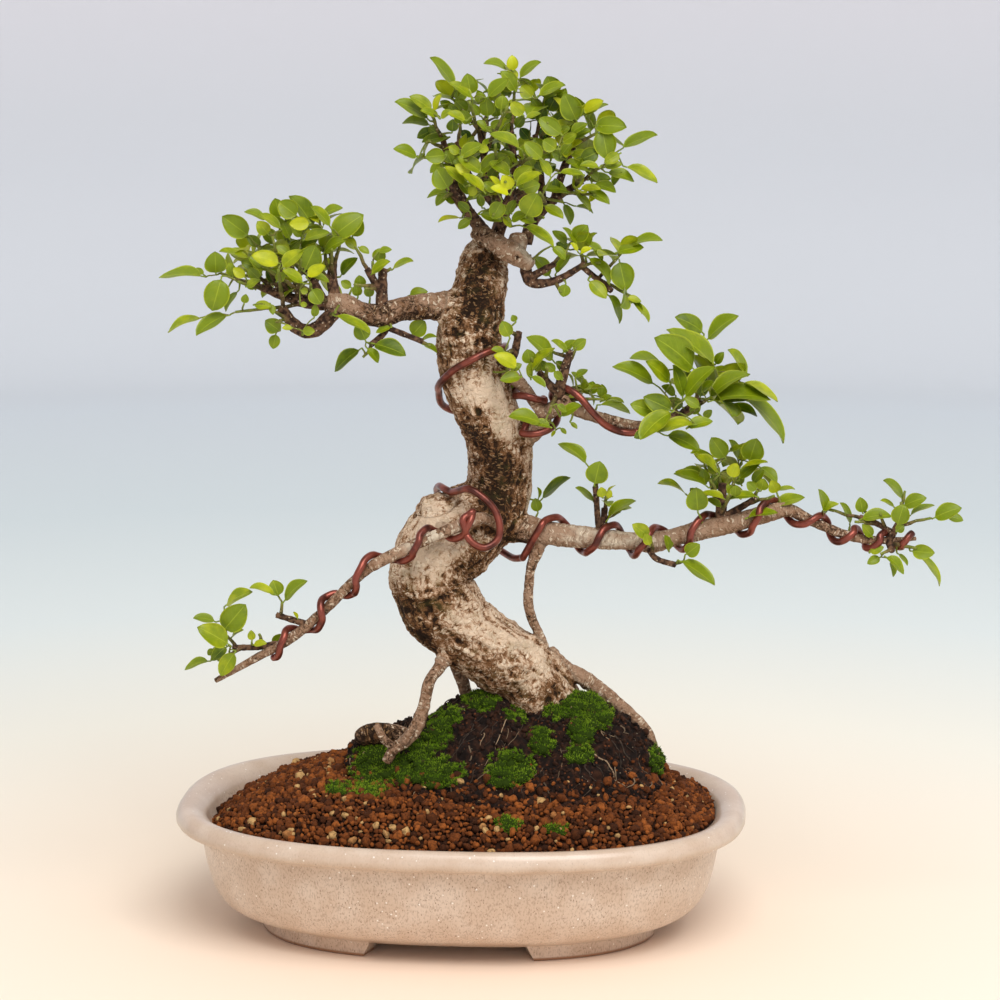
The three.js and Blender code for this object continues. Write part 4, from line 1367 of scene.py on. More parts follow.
@dataclass
class RootMound:
    """The mound of old root ball, with crumbs of peat and fine roots over it.

    `sections` are cuts across it: how far along the pot, half its width, and the height of its crest.
    """

    middle: float = -2.0
    base: float = 70.0
    slope: float = 1.7
    sections: tuple[Place, ...] = (
        (-60, 22, 86), (-55, 36, 99), (-34, 53, 105), (-12, 63, 112), (4, 67, 121), (24, 68, 121),
        (42, 67, 119), (60, 64, 121), (76, 57, 116), (94, 42, 102), (106, 20, 82),
    )
    roots: int = 300
    crumbs: int = 4400
    foot_line: float = 78.0
    tree: BVHTree | None = None

    def below(self, x: float, y: float) -> tuple:
        """The skin's place under a point high over it, and its normal, or None beside the mound."""
        return self.tree.ray_cast(Vector((x, y, 200.0)), Vector((0, 0, -1)))[:2]

    def crest(self, x: float, y: float) -> float:
        """How high the mound is over a place, or 0 beside it."""
        found = self.below(x, y)[0]
        return found.z if found else 0.0

    def build(self) -> None:
        """Adds the mound and what lies on it."""
        arch = np.cos(np.linspace(0, math.pi, 110))
        rings = []
        for x, half, crest in smooth_line(self.sections, 1.7):
            rise = (crest - self.base) * (1 - np.abs(arch) ** self.slope)
            ring = np.column_stack([np.full(len(arch), x), self.middle + half * arch, self.base + rise])
            feet = [[x, self.middle + end * half, self.base - 6] for end in (-1, 1)]
            rings.append(np.vstack([ring, feet]))
        points = np.vstack(rings)
        centre = np.array([20.0, self.middle, 60.0])
        away = (points - centre) / np.linalg.norm(points - centre, axis=1)[:, None]
        rough = 3.4 * lumps(points, 12, 3) + 2.8 * lumps(points, 5, 7) + 1.7 * lumps(points, 2.4, 11)
        points = points + away * (rough - 0.6)[:, None]
        faces = grid_faces(len(rings), len(rings[0]), capped=True)
        self.tree = BVHTree.FromPolygons(points.tolist(), faces)
        shape = Shape()
        shape.add(points, faces, 0, tone=0.0)
        self.add_crumbs(shape)
        self.add_roots(shape)
        shape.piece("root_mound", "peat", PEAT, FIBRE, GRAINS)

    def spot(self, random: Draw) -> tuple[np.ndarray, np.ndarray]:
        """A place on the mound's skin drawn at random, and the way out of it.

        Args:
            random: Its draws.

        Returns:
            The place, and the way out.
        """
        first, last = self.sections[0][0] - 2, self.sections[-1][0] + 2
        widest = max(half for _, half, _ in self.sections)
        while True:
            x = first + (last - first) * random()
            found, normal = self.below(x, self.middle - widest + 2 * widest * random())
            if found is not None:
                return np.array(found), np.array(normal) * math.copysign(1, normal.z)

    def add_crumbs(self, shape: Shape) -> None:
        """Adds crumbs of peat, and a few of clay near the foot.

        Args:
            shape: Where they are added.
        """
        random = draws(73)
        points, faces = ball(1)
        for i in range(self.crumbs):
            at, out = self.spot(random)
            clay = random() < 0.45 * (1 - smooth(np.array(at[2]), 84, 100))
            size = 0.5 + 1.4 * random() ** 2
            crumb = points * size * (0.5 + 0.9 * np.array([random(), random(), random()]))
            crumb *= (1 + 0.35 * lumps(points * 3 + 7 * i, 2.4))[:, None]
            lying = crumb @ rotation(random).T + at + out * size * (0.5 - 0.6 * random())
            shape.add(lying, faces, 2 if clay else 0, tone=0.8 * random() ** 1.6)

    def add_roots(self, shape: Shape) -> None:
        """Adds fine roots that wander down over the mound, most of them dark.

        Args:
            shape: Where they are added.
        """
        random = draws(71)
        for _ in range(self.roots):
            at, _ = self.spot(random)
            heading = math.atan2(at[1] - self.middle, at[0] - 25) + 2.0 * (random() - 0.5)
            thick, line = 0.15 + 0.4 * random() ** 3, []
            for _ in range(6 + int(15 * random())):
                found, normal = map(np.array, self.tree.find_nearest(Vector(at))[:2])
                if found[2] < self.foot_line:
                    break
                line.append(found + normal * thick * (0.2 + 1.6 * random()))
                heading += 1.1 * (random() - 0.5)
                way = np.array([math.cos(heading), math.sin(heading), -0.7])
                at = found + unit(way - normal * float(way @ normal)) * 1.9
            if len(line) > 3:
                radii = np.linspace(thick, 0.4 * thick, len(line))
                shape.add(*tube(np.array(line), radii, 5), 1, tone=random() ** 4.5)


@dataclass
class Soil:
    """Baked clay grains over a bed coloured dark as painted shade between them, heaped from the wall
    towards the mound.
    """

    mound: RootMound
    half_length: float = 133.0
    half_depth: float = 94.0
    edge: float = 56.0
    edge_tilt: float = 6.0
    crown: float = 85.0
    heap: float = 3.5
    grains: int = 4900
    sectors: int = 120
    bed_outline: Outline = ((39.5, 15.6), (24.5, 30.0), (21.0, 46.0))

    def height(self, x: float, y: float) -> tuple[float, float]:
        """How high the heap is, and the share of the way out to the wall.

        Args:
            x: Along the pot.
            y: Across the pot.

        Returns:
            The height, and the share: 0 in the middle and 1 at the wall.
        """
        power = Pot.squareness
        reach = (abs(x / self.half_length) ** power + abs(y / self.half_depth) ** power) ** (1 / power)
        lean = math.copysign((abs(x) / self.half_length / max(reach, 1e-6)) ** (power / 2), x)
        edge = self.edge + self.edge_tilt * lean
        return edge + (self.crown - edge) * (1 - min(reach, 1.0) ** self.heap), reach

    def ground(self, x: float, y: float) -> float:
        """How high soil or mound stands at a place of the front view.

        Args:
            x: To the right of the pot's middle.
            y: Back from it.

        Returns:
            The height.
        """
        cos, sin = math.cos(POT_TURN), math.sin(POT_TURN)
        height, _ = self.height(x * cos - y * sin, x * sin + y * cos)
        return max(height, self.mound.crest(x, y))

    def build(self) -> None:
        """Adds the bed and its grains."""
        shape = Shape()
        self.add_bed(shape)
        self.add_grains(shape)
        shape.piece("soil", "baked_clay_grains", GRAINS)

    def add_bed(self, shape: Shape) -> None:
        """Adds the bed that shows between the grains, coloured dark as painted shade in the gaps.

        Args:
            shape: Where it is added.
        """
        angles = np.arange(self.sectors) / self.sectors * 2 * math.pi
        rings = []
        for step, height in self.bed_outline:
            half_depth = Pot.half_depth - Pot.side_step * step
            rings.append(oval_points(Pot.half_length - step, half_depth, height, angles))
        for share in np.linspace(1, 0.03, 34):
            ring = oval_points(self.half_length * share, self.half_depth * share, 0.0, angles)
            ring[:, 2] = [self.height(x, y)[0] - 1.6 for x, y, _ in ring]
            ring[:, 2] += 1.0 * lumps(ring, 5, 2) + 0.9 * lumps(ring, 2.4, 5)
            rings.append(ring)
        faces = grid_faces(len(rings), self.sectors, capped=True)
        # The tone of -0.05 gives the bed the grains' darkest colour, as painted shade between the grains.
        shape.add(turned_with_pot(np.vstack(rings)), faces, 0, tone=-0.05)

    def add_grains(self, shape: Shape) -> None:
        """Adds grains of many sizes, the large ones first and apart from each other.

        Args:
            shape: Where they are added.
        """
        random = draws(31)
        large, small = ball(2), ball(1)
        taken: Taken = {}
        laid = tries = 0
        while laid < self.grains and tries < 40 * self.grains:
            tries += 1
            x, y = (2 * random() - 1) * self.half_length, (2 * random() - 1) * self.half_depth
            height, share = self.height(x, y)
            seen = turned_with_pot(np.array([[x, y, height]]))[0]
            climb = self.mound.crest(seen[0], seen[1]) - height
            if share > 0.99 or climb > 1 + 9 * random():
                continue
            progress = laid / self.grains
            size = (1.0 - 0.55 * progress) * (1.8 + 1.4 * random() ** 2) + (0.8 if random() < 0.05 else 0.0)
            if crowded(taken, seen, size * 0.6):
                continue
            points, faces = large if size > 1.85 else small
            grain = points * size * (0.6 + 0.6 * np.array([random(), random(), random()]))
            marks = points * 3 + 9 * laid
            grain = grain * (1 + (0.42 * lumps(marks, 2.4) + 0.2 * lumps(marks, 0.9)))[:, None]
            sink = max(climb, 0) + size * (0.6 * random() - 0.35)
            shape.add(grain @ rotation(random).T + seen + [0, 0, sink], faces, 0, tone=random())
            laid += 1
        LOG.info("soil: %d grains in %d tries", laid, tries)


def ball(level: int) -> tuple[np.ndarray, Faces]:
    """A ball of radius one.

    Args:
        level: 1 for twelve points, 2 for forty-two.

    Returns:
        Points and faces.
    """
    made = bmesh.new()
    bmesh.ops.create_icosphere(made, subdivisions=level, radius=1.0)
    points = np.array([vertex.co[:] for vertex in made.verts])
    faces = [tuple(vertex.index for vertex in face.verts) for face in made.faces]
    made.free()
    return points, faces


def rotation(random: Draw) -> np.ndarray:
    """A turn drawn at random, as a matrix.

    Args:
        random: Its draws.

    Returns:
        The matrix.
    """
    axis = unit(np.array([random() - 0.5, random() - 0.5, random() - 0.5]))
    angle = 2 * math.pi * random()
    skew = np.array([[0, -axis[2], axis[1]], [axis[2], 0, -axis[0]], [-axis[1], axis[0], 0]])
    return np.eye(3) + math.sin(angle) * skew + (1 - math.cos(angle)) * skew @ skew


def crowded(taken: Taken, at: np.ndarray, apart: float) -> bool:
    """Whether a place is too near another, which otherwise becomes taken.

    Args:
        taken: The places so far, by cell.
        at: The place.
        apart: How much room it needs on each side.

    Returns:
        True where it is too near.
    """
    column, row = int(at[0] // CELL), int(at[1] // CELL)
    for i in (-1, 0, 1):
        for k in (-1, 0, 1):
            for x, y, room in taken.get((column + i, row + k), ()):
                if math.hypot(at[0] - x, at[1] - y) < apart + room:
                    return True
    taken.setdefault((column, row), []).append((at[0], at[1], apart))
    return False


@dataclass(frozen=True)
class Patch:
    """An oval of the photo, in its pixels, in which moss grows."""

    across: float
    down: float
    half_width: float
    half_height: float

    def depth(self, pixel: np.ndarray) -> float:
        """How deep in the oval a pixel lies: 1 in its middle, 0 at its edge and less outside."""
        off = (pixel[0] - self.across) / self.half_width, (pixel[1] - self.down) / self.half_height
        return 1 - math.hypot(*off)


@dataclass
class MossCushion:
    """Moss that spreads over soil and mound: small mounds of it, covered with pointed tufts."""

    node: str
    seed: int
    patches: Sequence[Patch]
    soil: Soil
    from_x: float = -75.0
    to_x: float = 115.0
    nearest: float = -80.0
    farthest: float = 12.0
    apart: float = 0.92
    tries: int = 40000
    tufts: int = 46

    def build(self) -> None:
        """Adds the moss."""
        random = draws(self.seed)
        shape = Shape()
        points, faces = ball(1)
        taken: Taken = {}
        for _ in range(self.tries):
            x = self.from_x + (self.to_x - self.from_x) * random()
            y = self.nearest + (self.farthest - self.nearest) * random()
            at = np.array([x, y, self.soil.ground(x, y)])
            pixel = seen_at(at[None])[0] + 5 * np.array([random() - 0.5, random() - 0.5])
            deep = max(patch.depth(pixel) for patch in self.patches)
            if deep < 0 or crowded(taken, at, self.apart):
                continue
            size = (1.3 + 2.4 * min(1.0, 2.2 * deep)) * (0.8 + 0.4 * random())
            sunk = at - [0, 0, 0.2 * size]
            clump = points * size * [1, 1, 0.8] * (1 + 0.2 * lumps(points * 3 + at, 2.2))[:, None]
            shape.add(clump + sunk, faces, 0, along=0.12)
            for _ in range(self.tufts):
                way = unit(np.array([2 * random() - 1, 2 * random() - 1, 2.2 * random() - 0.6]))
                self.add_tuft(shape, sunk + way * size * [0.95, 0.95, 0.75], way, random)
        shape.piece(self.node, "moss", MOSS)

    def add_tuft(self, shape: Shape, at: np.ndarray, way: np.ndarray, random: Draw) -> None:
        """Adds one pointed tuft.

        Args:
            shape: Where it is added.
            at: Its foot.
            way: The way out of the moss there.
            random: Draws for its lean and size.
        """
        lean = unit(way + 0.6 * np.array([random() - 0.5, random() - 0.5, random() - 0.2]))
        aside = unit(np.cross(lean, [0.3, 0.9, 0.1]))
        across = np.cross(lean, aside)
        high, wide = 0.6 + 0.8 * random(), 0.16 + 0.13 * random()
        corners = [math.cos(a) * aside + math.sin(a) * across for a in (0, 2.1, 4.2)]
        base = [at - lean * 0.4 + wide * corner for corner in corners]
        faces = [(0, 1, 3), (1, 2, 3), (2, 0, 3)]
        shape.add(np.array([*base, at + lean * high]), faces, 0, along=np.array([0.1, 0.1, 0.1, 1.0]))


# The wood


@dataclass(frozen=True)
class WeatherAndShade:
    """A place on the bark that is paler or darker than the rest, and may stand out or sink in. Where it is
    darker and sinks in, the dark is painted shade in the pit.
    """

    at: Place
    reach: float
    dark: float
    swell: float = 0.0

    def share(self, spots: np.ndarray) -> np.ndarray:
        """How strongly the place is felt at each spot, up to 1."""
        gaps = np.linalg.norm(spots - self.at, axis=1)
        return np.exp(-((gaps / self.reach) ** 2))


# Places given one by one, mostly the bark's own darker and paler patches. The dark of the pits that sink
# in, such as the gap where the low branch leaves the trunk at (10, -22, 212), is painted shade. Part of the
# dark under the trunk's left bulge at (-24, -16, 172), (-17, -14, 160) and (-12, -22, 177), and under the
# trunk at (10, -14, 146), is painted shade; the rest there is the bark's own dark.
WEATHER_AND_SHADE = (
    WeatherAndShade((-1.5, -19, 312), 4, 0.45, -1.2), WeatherAndShade((4, -18, 327), 5, 0.6, -1.6),
    WeatherAndShade((12, -18, 318), 4, 0.4, -1.2), WeatherAndShade((14, -17, 308), 3, 0.5, -1.2),
    WeatherAndShade((-9, -13, 303), 6, 0.35), WeatherAndShade((4, -19, 302), 5, -0.1), WeatherAndShade((2, -16, 314), 10, 0.2),
    WeatherAndShade((47, -14, 128), 7, 0.35, 0.6), WeatherAndShade((9.3, -18, 273.3), 1.6, 0.35, -0.35),
    WeatherAndShade((28.8, -19.5, 352), 1.8, 1.4), WeatherAndShade((18, -10, 348), 9, 0.6), WeatherAndShade((5, -12, 344), 9, 0.5),
    WeatherAndShade((-6, -10, 340), 7, 0.5), WeatherAndShade((8, -15, 330), 10, 0.65), WeatherAndShade((20, -10, 326), 9, 0.5),
    WeatherAndShade((20, -12, 312), 6, 0.5), WeatherAndShade((-36, -18, 319), 16, 0.6), WeatherAndShade((-20, -18, 319), 8, 0.5),
    WeatherAndShade((75, -14, 207), 44, -0.78), WeatherAndShade((-16, -35, 211), 24, -0.85),
    WeatherAndShade((9, -16, 284), 9, -0.5), WeatherAndShade((18, -12, 278), 8, -0.5), WeatherAndShade((24, -12, 265), 8, -0.45),
    WeatherAndShade((-5, -12, 284), 6, 0.3), WeatherAndShade((6, -16, 262), 8, 0.6), WeatherAndShade((-2, -10, 262), 7, 0.4),
    WeatherAndShade((14, -16, 252), 9, 0.6), WeatherAndShade((16, -14, 238), 12, 0.75), WeatherAndShade((30, -8, 240), 11, 0.6),
    WeatherAndShade((24, -12, 220), 12, 0.8), WeatherAndShade((12, -16, 226), 8, 0.5), WeatherAndShade((28, -10, 206), 8, 0.6),
    WeatherAndShade((10, -22, 212), 5, 1.0, -2.5), WeatherAndShade((6, -18, 198), 8, 0.65), WeatherAndShade((0, -20, 190), 6, 0.4),
    WeatherAndShade((-4, -20, 183), 5, 0.45), WeatherAndShade((-12, -22, 177), 7, 0.75), WeatherAndShade((-24, -16, 172), 11, 1.0),
    WeatherAndShade((-17, -14, 160), 9, 0.95), WeatherAndShade((-7, -12, 151), 7, 0.6), WeatherAndShade((-15, -22, 214), 10, -0.1),
    WeatherAndShade((-14, -22, 192), 8, -0.05), WeatherAndShade((-32, -12, 188), 6, -0.15),
    WeatherAndShade((12, -22, 166), 12, -0.3), WeatherAndShade((34, -16, 148), 15, -0.35),
    WeatherAndShade((10, -14, 146), 7, 0.35), WeatherAndShade((26, -16, 134), 7, 0.2), WeatherAndShade((44, -14, 122), 7, 0.35),
    WeatherAndShade((10, 20, 200), 30, 0.3), WeatherAndShade((0, 15, 290), 26, 0.3), WeatherAndShade((-44, -20, 104), 12, 1.3),
    WeatherAndShade((12, -10, 361), 6, 0.5), WeatherAndShade((27, -14, 355), 6, -0.7), WeatherAndShade((34, -10, 352), 9, -0.9),
)


def limb_swell(points: np.ndarray) -> np.ndarray:
    """How much thicker or thinner than its radius a limb is at each point."""
    return 1 + 0.09 * lumps(points, 15, 4) + 0.05 * lumps(points, 7, 9)


def trunk_spot(across: float, down: float) -> np.ndarray:
    """The place on the trunk's skin that the photo shows at a pixel, or the nearest beside it.

    Args:
        across: The pixel's place across the photo.
        down: Its place down the photo.

    Returns:
        Its x, y and z in millimetres.
    """
    rows = limb_rows(["trunk", "cut_lobe"], 1.0)
    ray = np.array([photo_spot(across, down, y) for y in np.arange(-50.0, 12.0, 0.4)])
    gaps = np.linalg.norm(ray[:, None] - rows[None, :, :3], axis=2) - rows[:, 3]
    inside = np.flatnonzero(gaps.min(axis=1) < 0)
    met = int(inside[0]) if len(inside) else int(gaps.min(axis=1).argmin())
    row = rows[int(gaps[met].argmin())]
    spot = row[:3] + unit(ray[met] - row[:3]) * row[3]
    return row[:3] + (spot - row[:3]) * limb_swell(spot[None])[0]


@dataclass(frozen=True)
class BarkFold:
    """A fold that stands out from the trunk's bark, by the pixels it runs through in the photo."""

    thick: float
    pixels: Outline

    def roll(self) -> tuple[np.ndarray, Faces]:
        """A roll along the fold, thinner at its ends.

        Returns:
            Points and faces.
        """
        knots = [[*trunk_spot(*pixel), self.thick] for pixel in self.pixels]
        rows = smooth_line(knots, 1.2)
        ends = np.sin(np.linspace(0.25, math.pi - 0.25, len(rows))) ** 0.5
        return tube(rows[:, :3], rows[:, 3] * ends, 8)


BARK_FOLDS = (
    BarkFold(1.7, ((458, 291), (463, 288), (470, 286), (478, 285), (486, 287), (493, 292))),
    BarkFold(1.7, ((461, 302), (468, 298), (476, 296), (484, 298), (491, 303), (496, 309))),
    BarkFold(1.9, ((444, 332), (442, 324), (446, 317), (453, 314), (461, 316), (467, 322), (469, 330))),
    BarkFold(1.8, ((469, 332), (465, 338), (457, 342), (448, 341), (443, 335))),
    BarkFold(1.3, ((450, 332), (451, 326), (456, 325), (460, 329), (458, 334))),
    BarkFold(1.6, ((470, 318), (478, 324), (486, 329), (494, 333))),
    BarkFold(1.6, ((468, 344), (474, 339), (481, 336), (488, 338), (493, 342))),
    BarkFold(1.4, ((472, 310), (480, 312), (489, 316), (495, 321))),
    BarkFold(1.6, ((446, 301), (448, 307), (453, 311))),
    BarkFold(1.2, ((474, 412), (475, 407), (479, 406), (482, 409), (482, 413))),
    BarkFold(1.1, ((485, 409), (486, 405), (489, 404), (492, 407), (491, 411))),
    BarkFold(1.2, ((455, 270), (464, 266), (476, 265), (488, 267), (495, 271))),
    BarkFold(1.1, ((456, 256), (466, 252), (478, 251), (490, 254))),
    BarkFold(1.3, ((453, 280), (462, 277), (474, 276), (486, 278))),
    BarkFold(1.9, ((402, 590), (412, 597), (425, 597), (438, 592), (450, 587))),
    BarkFold(1.6, ((427, 628), (431, 618), (436, 608), (445, 600))),
    BarkFold(1.4, ((398, 568), (410, 574), (424, 574), (436, 568))),
    BarkFold(1.3, ((455, 628), (470, 634), (486, 642), (500, 650))),
    BarkFold(1.3, ((452, 643), (466, 651), (480, 661))),
    BarkFold(1.2, ((478, 618), (492, 626), (508, 636), (522, 648))),
    BarkFold(1.3, ((500, 668), (512, 664), (524, 664), (536, 668))),
    BarkFold(1.2, ((505, 682), (516, 679), (528, 680))),
)


@dataclass(frozen=True)
class CutRing:
    """The lip of bark that has closed over a cut branch."""

    at: Place
    radius: float
    thick: float = 1.1

    def lip(self) -> tuple[np.ndarray, Faces]:
        """A ring that faces the front.

        Returns:
            Points and faces.
        """
        angles = np.linspace(0, 2 * math.pi, 25)
        ring = np.column_stack([np.cos(angles), 0 * angles, np.sin(angles)]) * self.radius + self.at
        return tube(ring, np.full(len(ring), self.thick), 8)


CUT_RINGS = (
    CutRing((28.8, -18.2, 352.0), 2.6, 0.95), CutRing((52.8, -12.0, 277.5), 2.8),
    CutRing((9.0, -17.8, 273.5), 2.6), CutRing((-9.0, -22.0, 215.0), 2.2),
)


def grain_marks(grain: np.ndarray) -> dict[str, np.ndarray]:
    """Each point's place across, over and along its limb, as the bark's finish reads them."""
    return {"grain_" + key: grain[:, i] * MM for i, key in enumerate("XYZ")}


@dataclass
class Wood:
    """The trunk, its branches and its surface roots, in one skin of bark."""

    voxel: float = 0.98
    softened: int = 2
    thin: float = 2.6
    trunk_sides: int = 40
    limb_sides: int = 22
    slim_sides: int = 12
    slim_shade: float = 0.4
    shade: float = 0.34
    # Painted shade in the bark's hollows and a painted highlight on its crests.
    hollow_rounds: int = 9
    hollow_shade: float = 0.42
    crest_highlight: float = 0.12
    batch: int = 8000

    def build(self) -> None:
        """Adds the wood."""
        melted, slim = Shape(), Shape()
        for name in ("trunk", *LIMBS):
            rows = limb_rows([name], 2.5)
            thick = np.flatnonzero(rows[:, 3] >= self.thin)
            if len(thick) > 2:
                sides = self.trunk_sides if name == "trunk" else self.limb_sides
                melted.add(*self.limb(rows[thick[0] : thick[-1] + 1], sides))
            small = np.flatnonzero(rows[:, 3] < self.thin + 0.4)
            if len(small) > 2 and len(thick) < len(rows):
                self.add_slim(slim, rows[max(0, small[0] - 3) :])
        for ring in CUT_RINGS:
            melted.add(*ring.lip())
        for fold in BARK_FOLDS:
            melted.add(*fold.roll())
        mesh = fused(melted, self.voxel, self.softened)
        spots = back_to_view(vertex_rows(mesh))
        normals = turned_with_pot(vertex_rows(mesh, "vertex_normals"))
        corners = np.empty(len(mesh.loops), np.int32)
        mesh.loops.foreach_get("vertex_index", corners)
        bpy.data.meshes.remove(mesh)
        grain, size, branch = self.measure(spots)
        push, ridges = self.relief(spots, grain, size, branch)
        skin, quads = spots + normals * push[:, None], corners.reshape(-1, 4)
        # The bark's own patches, with painted shade on undersides, in grooves and in hollows, and a painted
        # highlight on crests.
        weather = self.weather(spots, normals, ridges) + self.hollow_shading(skin, quads, normals)
        shape = Shape()
        shape.add(skin, quads, 0, weather=weather, branch=branch, **grain_marks(grain))
        spots = np.concatenate(slim.points)
        marks = grain_marks(self.measure(spots)[0])
        shape.add(spots, slim.faces, 0, weather=self.slim_shade, branch=1.0, **marks)
        shape.piece("trunk", "bark", BARK)

    def limb(self, rows: np.ndarray, sides: int) -> tuple[np.ndarray, Faces]:
        """A limb whose section swells and sinks as it goes.

        Args:
            rows: Its stations: x, y, z and radius.
            sides: How many sides it has.

        Returns:
            Points and faces.
        """
        points, faces = tube(rows[:, :3], rows[:, 3], sides)
        centres = np.vstack([np.repeat(rows[:, :3], sides, axis=0), rows[[0, -1], :3]])
        return centres + (points - centres) * limb_swell(points)[:, None], faces

    def add_slim(self, shape: Shape, rows: np.ndarray) -> None:
        """Adds a limb too thin to melt into the rest.

        Args:
            shape: Where it is added.
            rows: Its stations: x, y, z and radius.
        """
        fine = smooth_line(rows, 1.0)
        knots = 1 + 0.12 * lumps(fine[:, :3], 3, 8)
        shape.add(*tube(fine[:, :3], np.maximum(fine[:, 3], 0.7) * knots, self.slim_sides))

    def relief(
        self, spots: np.ndarray, grain: np.ndarray, size: np.ndarray, branch: np.ndarray
    ) -> tuple[np.ndarray, np.ndarray]:
        """How far the bark stands out at each spot.

        Args:
            spots: Places on the skin.
            grain: The same places along and about their limbs.
            size: The limb's radius there.
            branch: Whether it is a branch.

        Returns:
            The relief in millimetres, and the ridges in it from 0 to 1.
        """
        scale = np.clip(size / 16, 0.25, 1.0)
        calm = 1 - 0.6 * branch
        ridges = 1 - 2 * np.abs(lumps(grain * [1, 1, 0.42], 5.0, 5))
        push = 1.5 * lumps(spots, 13, 1) * scale
        bent = spots * [1, 1, 1.5] + 6 * lumps(spots, 17, 40)[:, None]
        folds = 1 - 2 * np.abs(lumps(bent, 9.0, 33))
        knobbly = smooth(spots[:, 2], 284, 300) * (1 - branch)
        push += (0.4 + 0.8 * knobbly) * (folds - 0.5) * scale * calm
        push += 0.85 * (ridges - 0.45) * scale * calm
        push += 0.6 * lumps(grain * [1, 1, 0.8], 2.2, 12) * np.clip(scale * 1.6, 0, 1)
        rings = lumps(grain * [0.3, 0.3, 1], 2.0, 21)
        push += 0.42 * rings * (0.5 + 0.5 * branch) * np.clip(scale * 2, 0, 1)
        for spot in WEATHER_AND_SHADE:
            if spot.swell:
                push += spot.swell * spot.share(spots)
        return push, ridges

    def measure(self, spots: np.ndarray) -> tuple[np.ndarray, np.ndarray, np.ndarray]:
        """Where spots lie about their limbs.

        Args:
            spots: Places on the skin.

        Returns:
            Each spot across, over and along its limb, the limb's radius, and 1 where it is a branch.
        """
        found = []
        for names in (("trunk", "cut_lobe"), [name for name in LIMBS if name != "cut_lobe"]):
            lines = [limb_rows([name]) for name in names]
            rows = np.vstack(lines)
            ways = np.vstack([np.gradient(line[:, :3], axis=0) for line in lines])
            ways /= np.linalg.norm(ways, axis=1)[:, None]
            passed = np.arange(len(rows)) * 2.0
            near, gap = self.nearest(spots, rows)
            off = spots - rows[near, :3]
            way = ways[near]
            ahead = (off * way).sum(axis=1)
            aside = np.cross(way, [0.1, -1.0, 0.2])
            aside /= np.linalg.norm(aside, axis=1)[:, None]
            parts = (off * aside).sum(axis=1), (off * np.cross(way, aside)).sum(axis=1)
            grain = np.column_stack([*parts, passed[near] + ahead])
            found.append((grain, rows[near, 3], gap))
        branch = smooth(found[0][2] - found[1][2], 1.0, 6.0)
        grain = np.where(branch[:, None] > 0.5, found[1][0], found[0][0])
        return grain, found[0][1] * (1 - branch) + found[1][1] * branch, branch

    def nearest(self, spots: np.ndarray, rows: np.ndarray) -> tuple[np.ndarray, np.ndarray]:
        """Which station of the limbs lies nearest to each spot, and the gap to its bark.

        Args:
            spots: Places on the skin.
            rows: The stations: x, y, z and radius.

        Returns:
            The stations' numbers, and the gaps.
        """
        near, gap = np.empty(len(spots), int), np.empty(len(spots))
        for start in range(0, len(spots), self.batch):
            part = slice(start, start + self.batch)
            away = np.linalg.norm(spots[part, None] - rows[None, :, :3], axis=2) - rows[:, 3]
            near[part] = away.argmin(axis=1)
            gap[part] = away.min(axis=1)
        return near, gap

    def hollow_shading(self, skin: np.ndarray, quads: np.ndarray, normals: np.ndarray) -> np.ndarray:
        """How much painted shade each place of the skin gets for lying in a hollow, and painted highlight
        for standing out.

        Args:
            skin: The skin's points.
            quads: Its faces.
            normals: The ways out of it.

        Returns:
            What is added to each point's darkness, as painted shade and painted highlight.
        """
        starts = np.concatenate([quads[:, i] for i in range(4) for _ in (1, 3)])
        ends = np.concatenate([quads[:, (i + k) % 4] for i in range(4) for k in (1, 3)])
        count = np.bincount(starts, minlength=len(skin))[:, None]
        soft = skin
        for _ in range(self.hollow_rounds):
            total = [np.bincount(starts, soft[ends, axis], len(skin)) for axis in range(3)]
            soft = np.column_stack(total) / count
        # How far each point lies below its smoothed neighbours: painted shade where it sinks, painted
        # highlight where it stands out.
        sunk = ((soft - skin) * normals).sum(axis=1)
        return self.hollow_shade * smooth(sunk, 0.02, 0.5) - self.crest_highlight * smooth(-sunk, 0.02, 0.5)

    def weather(self, spots: np.ndarray, normals: np.ndarray, ridges: np.ndarray) -> np.ndarray:
        """How dark each spot is: painted shade on undersides, darker grooves between ridges that are partly
        the bark's fissures and partly painted shade, and places given one by one.

        Args:
            spots: Places on the skin.
            normals: The ways out of it.
            ridges: The bark's ridges, from 0 to 1.

        Returns:
            How dark, from 0 to about 1.
        """
        # Grooves between the ridges are darker, partly as the bark's fissures and partly as painted shade.
        dark = np.full(len(spots), self.shade) - 0.2 * ridges
        # Painted shade on the undersides of the wood.
        dark += 0.25 * smooth(-normals[:, 2], 0.1, 0.8)
        # Places given one by one: the bark's own patches, and painted shade in pits and under the trunk.
        for spot in WEATHER_AND_SHADE:
            dark += spot.dark * spot.share(spots)
        return dark


# The wires


LOW_ROUTE: Line = [
    [6, -33, 224], [2, -32, 219], [3, -34, 213], [7, -35, 208], [13, -34, 206], [19, -32, 210],
    [20, -30, 217], [17, -28, 225], [11, -27, 231], [4, -24, 234.5], [-3, -13, 231], [-7.5, -4, 228.8],
    [-9, 4, 227], [-9, 13, 221], [-4, 22, 214], [5, 29, 206], [14, 26, 198], [22, 15, 194], [28, 4, 193],
    [34, -6, 196],
]
HIGH_ROUTE: Line = [
    [23, 5, 304], [20, -8, 305], [13, -17, 304], [5, -21, 300], [-3, -20, 295], [-8, -14, 289],
    [-11, -4, 282], [-10, 6, 274], [-4, 15, 269], [4, 20, 268], [13, 21, 272], [20, 16, 279], [26, 5, 284],
    [27, -5, 280], [31, -14, 281], [37, -16, 280], [42, -10, 277], [43, 2, 270], [39, 7, 267], [32, 3, 267],
    [29, -7, 262], [35, -13, 261], [42, -13, 262], [48, -8, 265], [50, 1, 271], [47, 3, 278], [49, -5, 284],
    [55, -12, 284], [61, -15, 280], [67, -16, 273], [74, -15, 266], [83, -13, 262], [91, -14, 263],
]


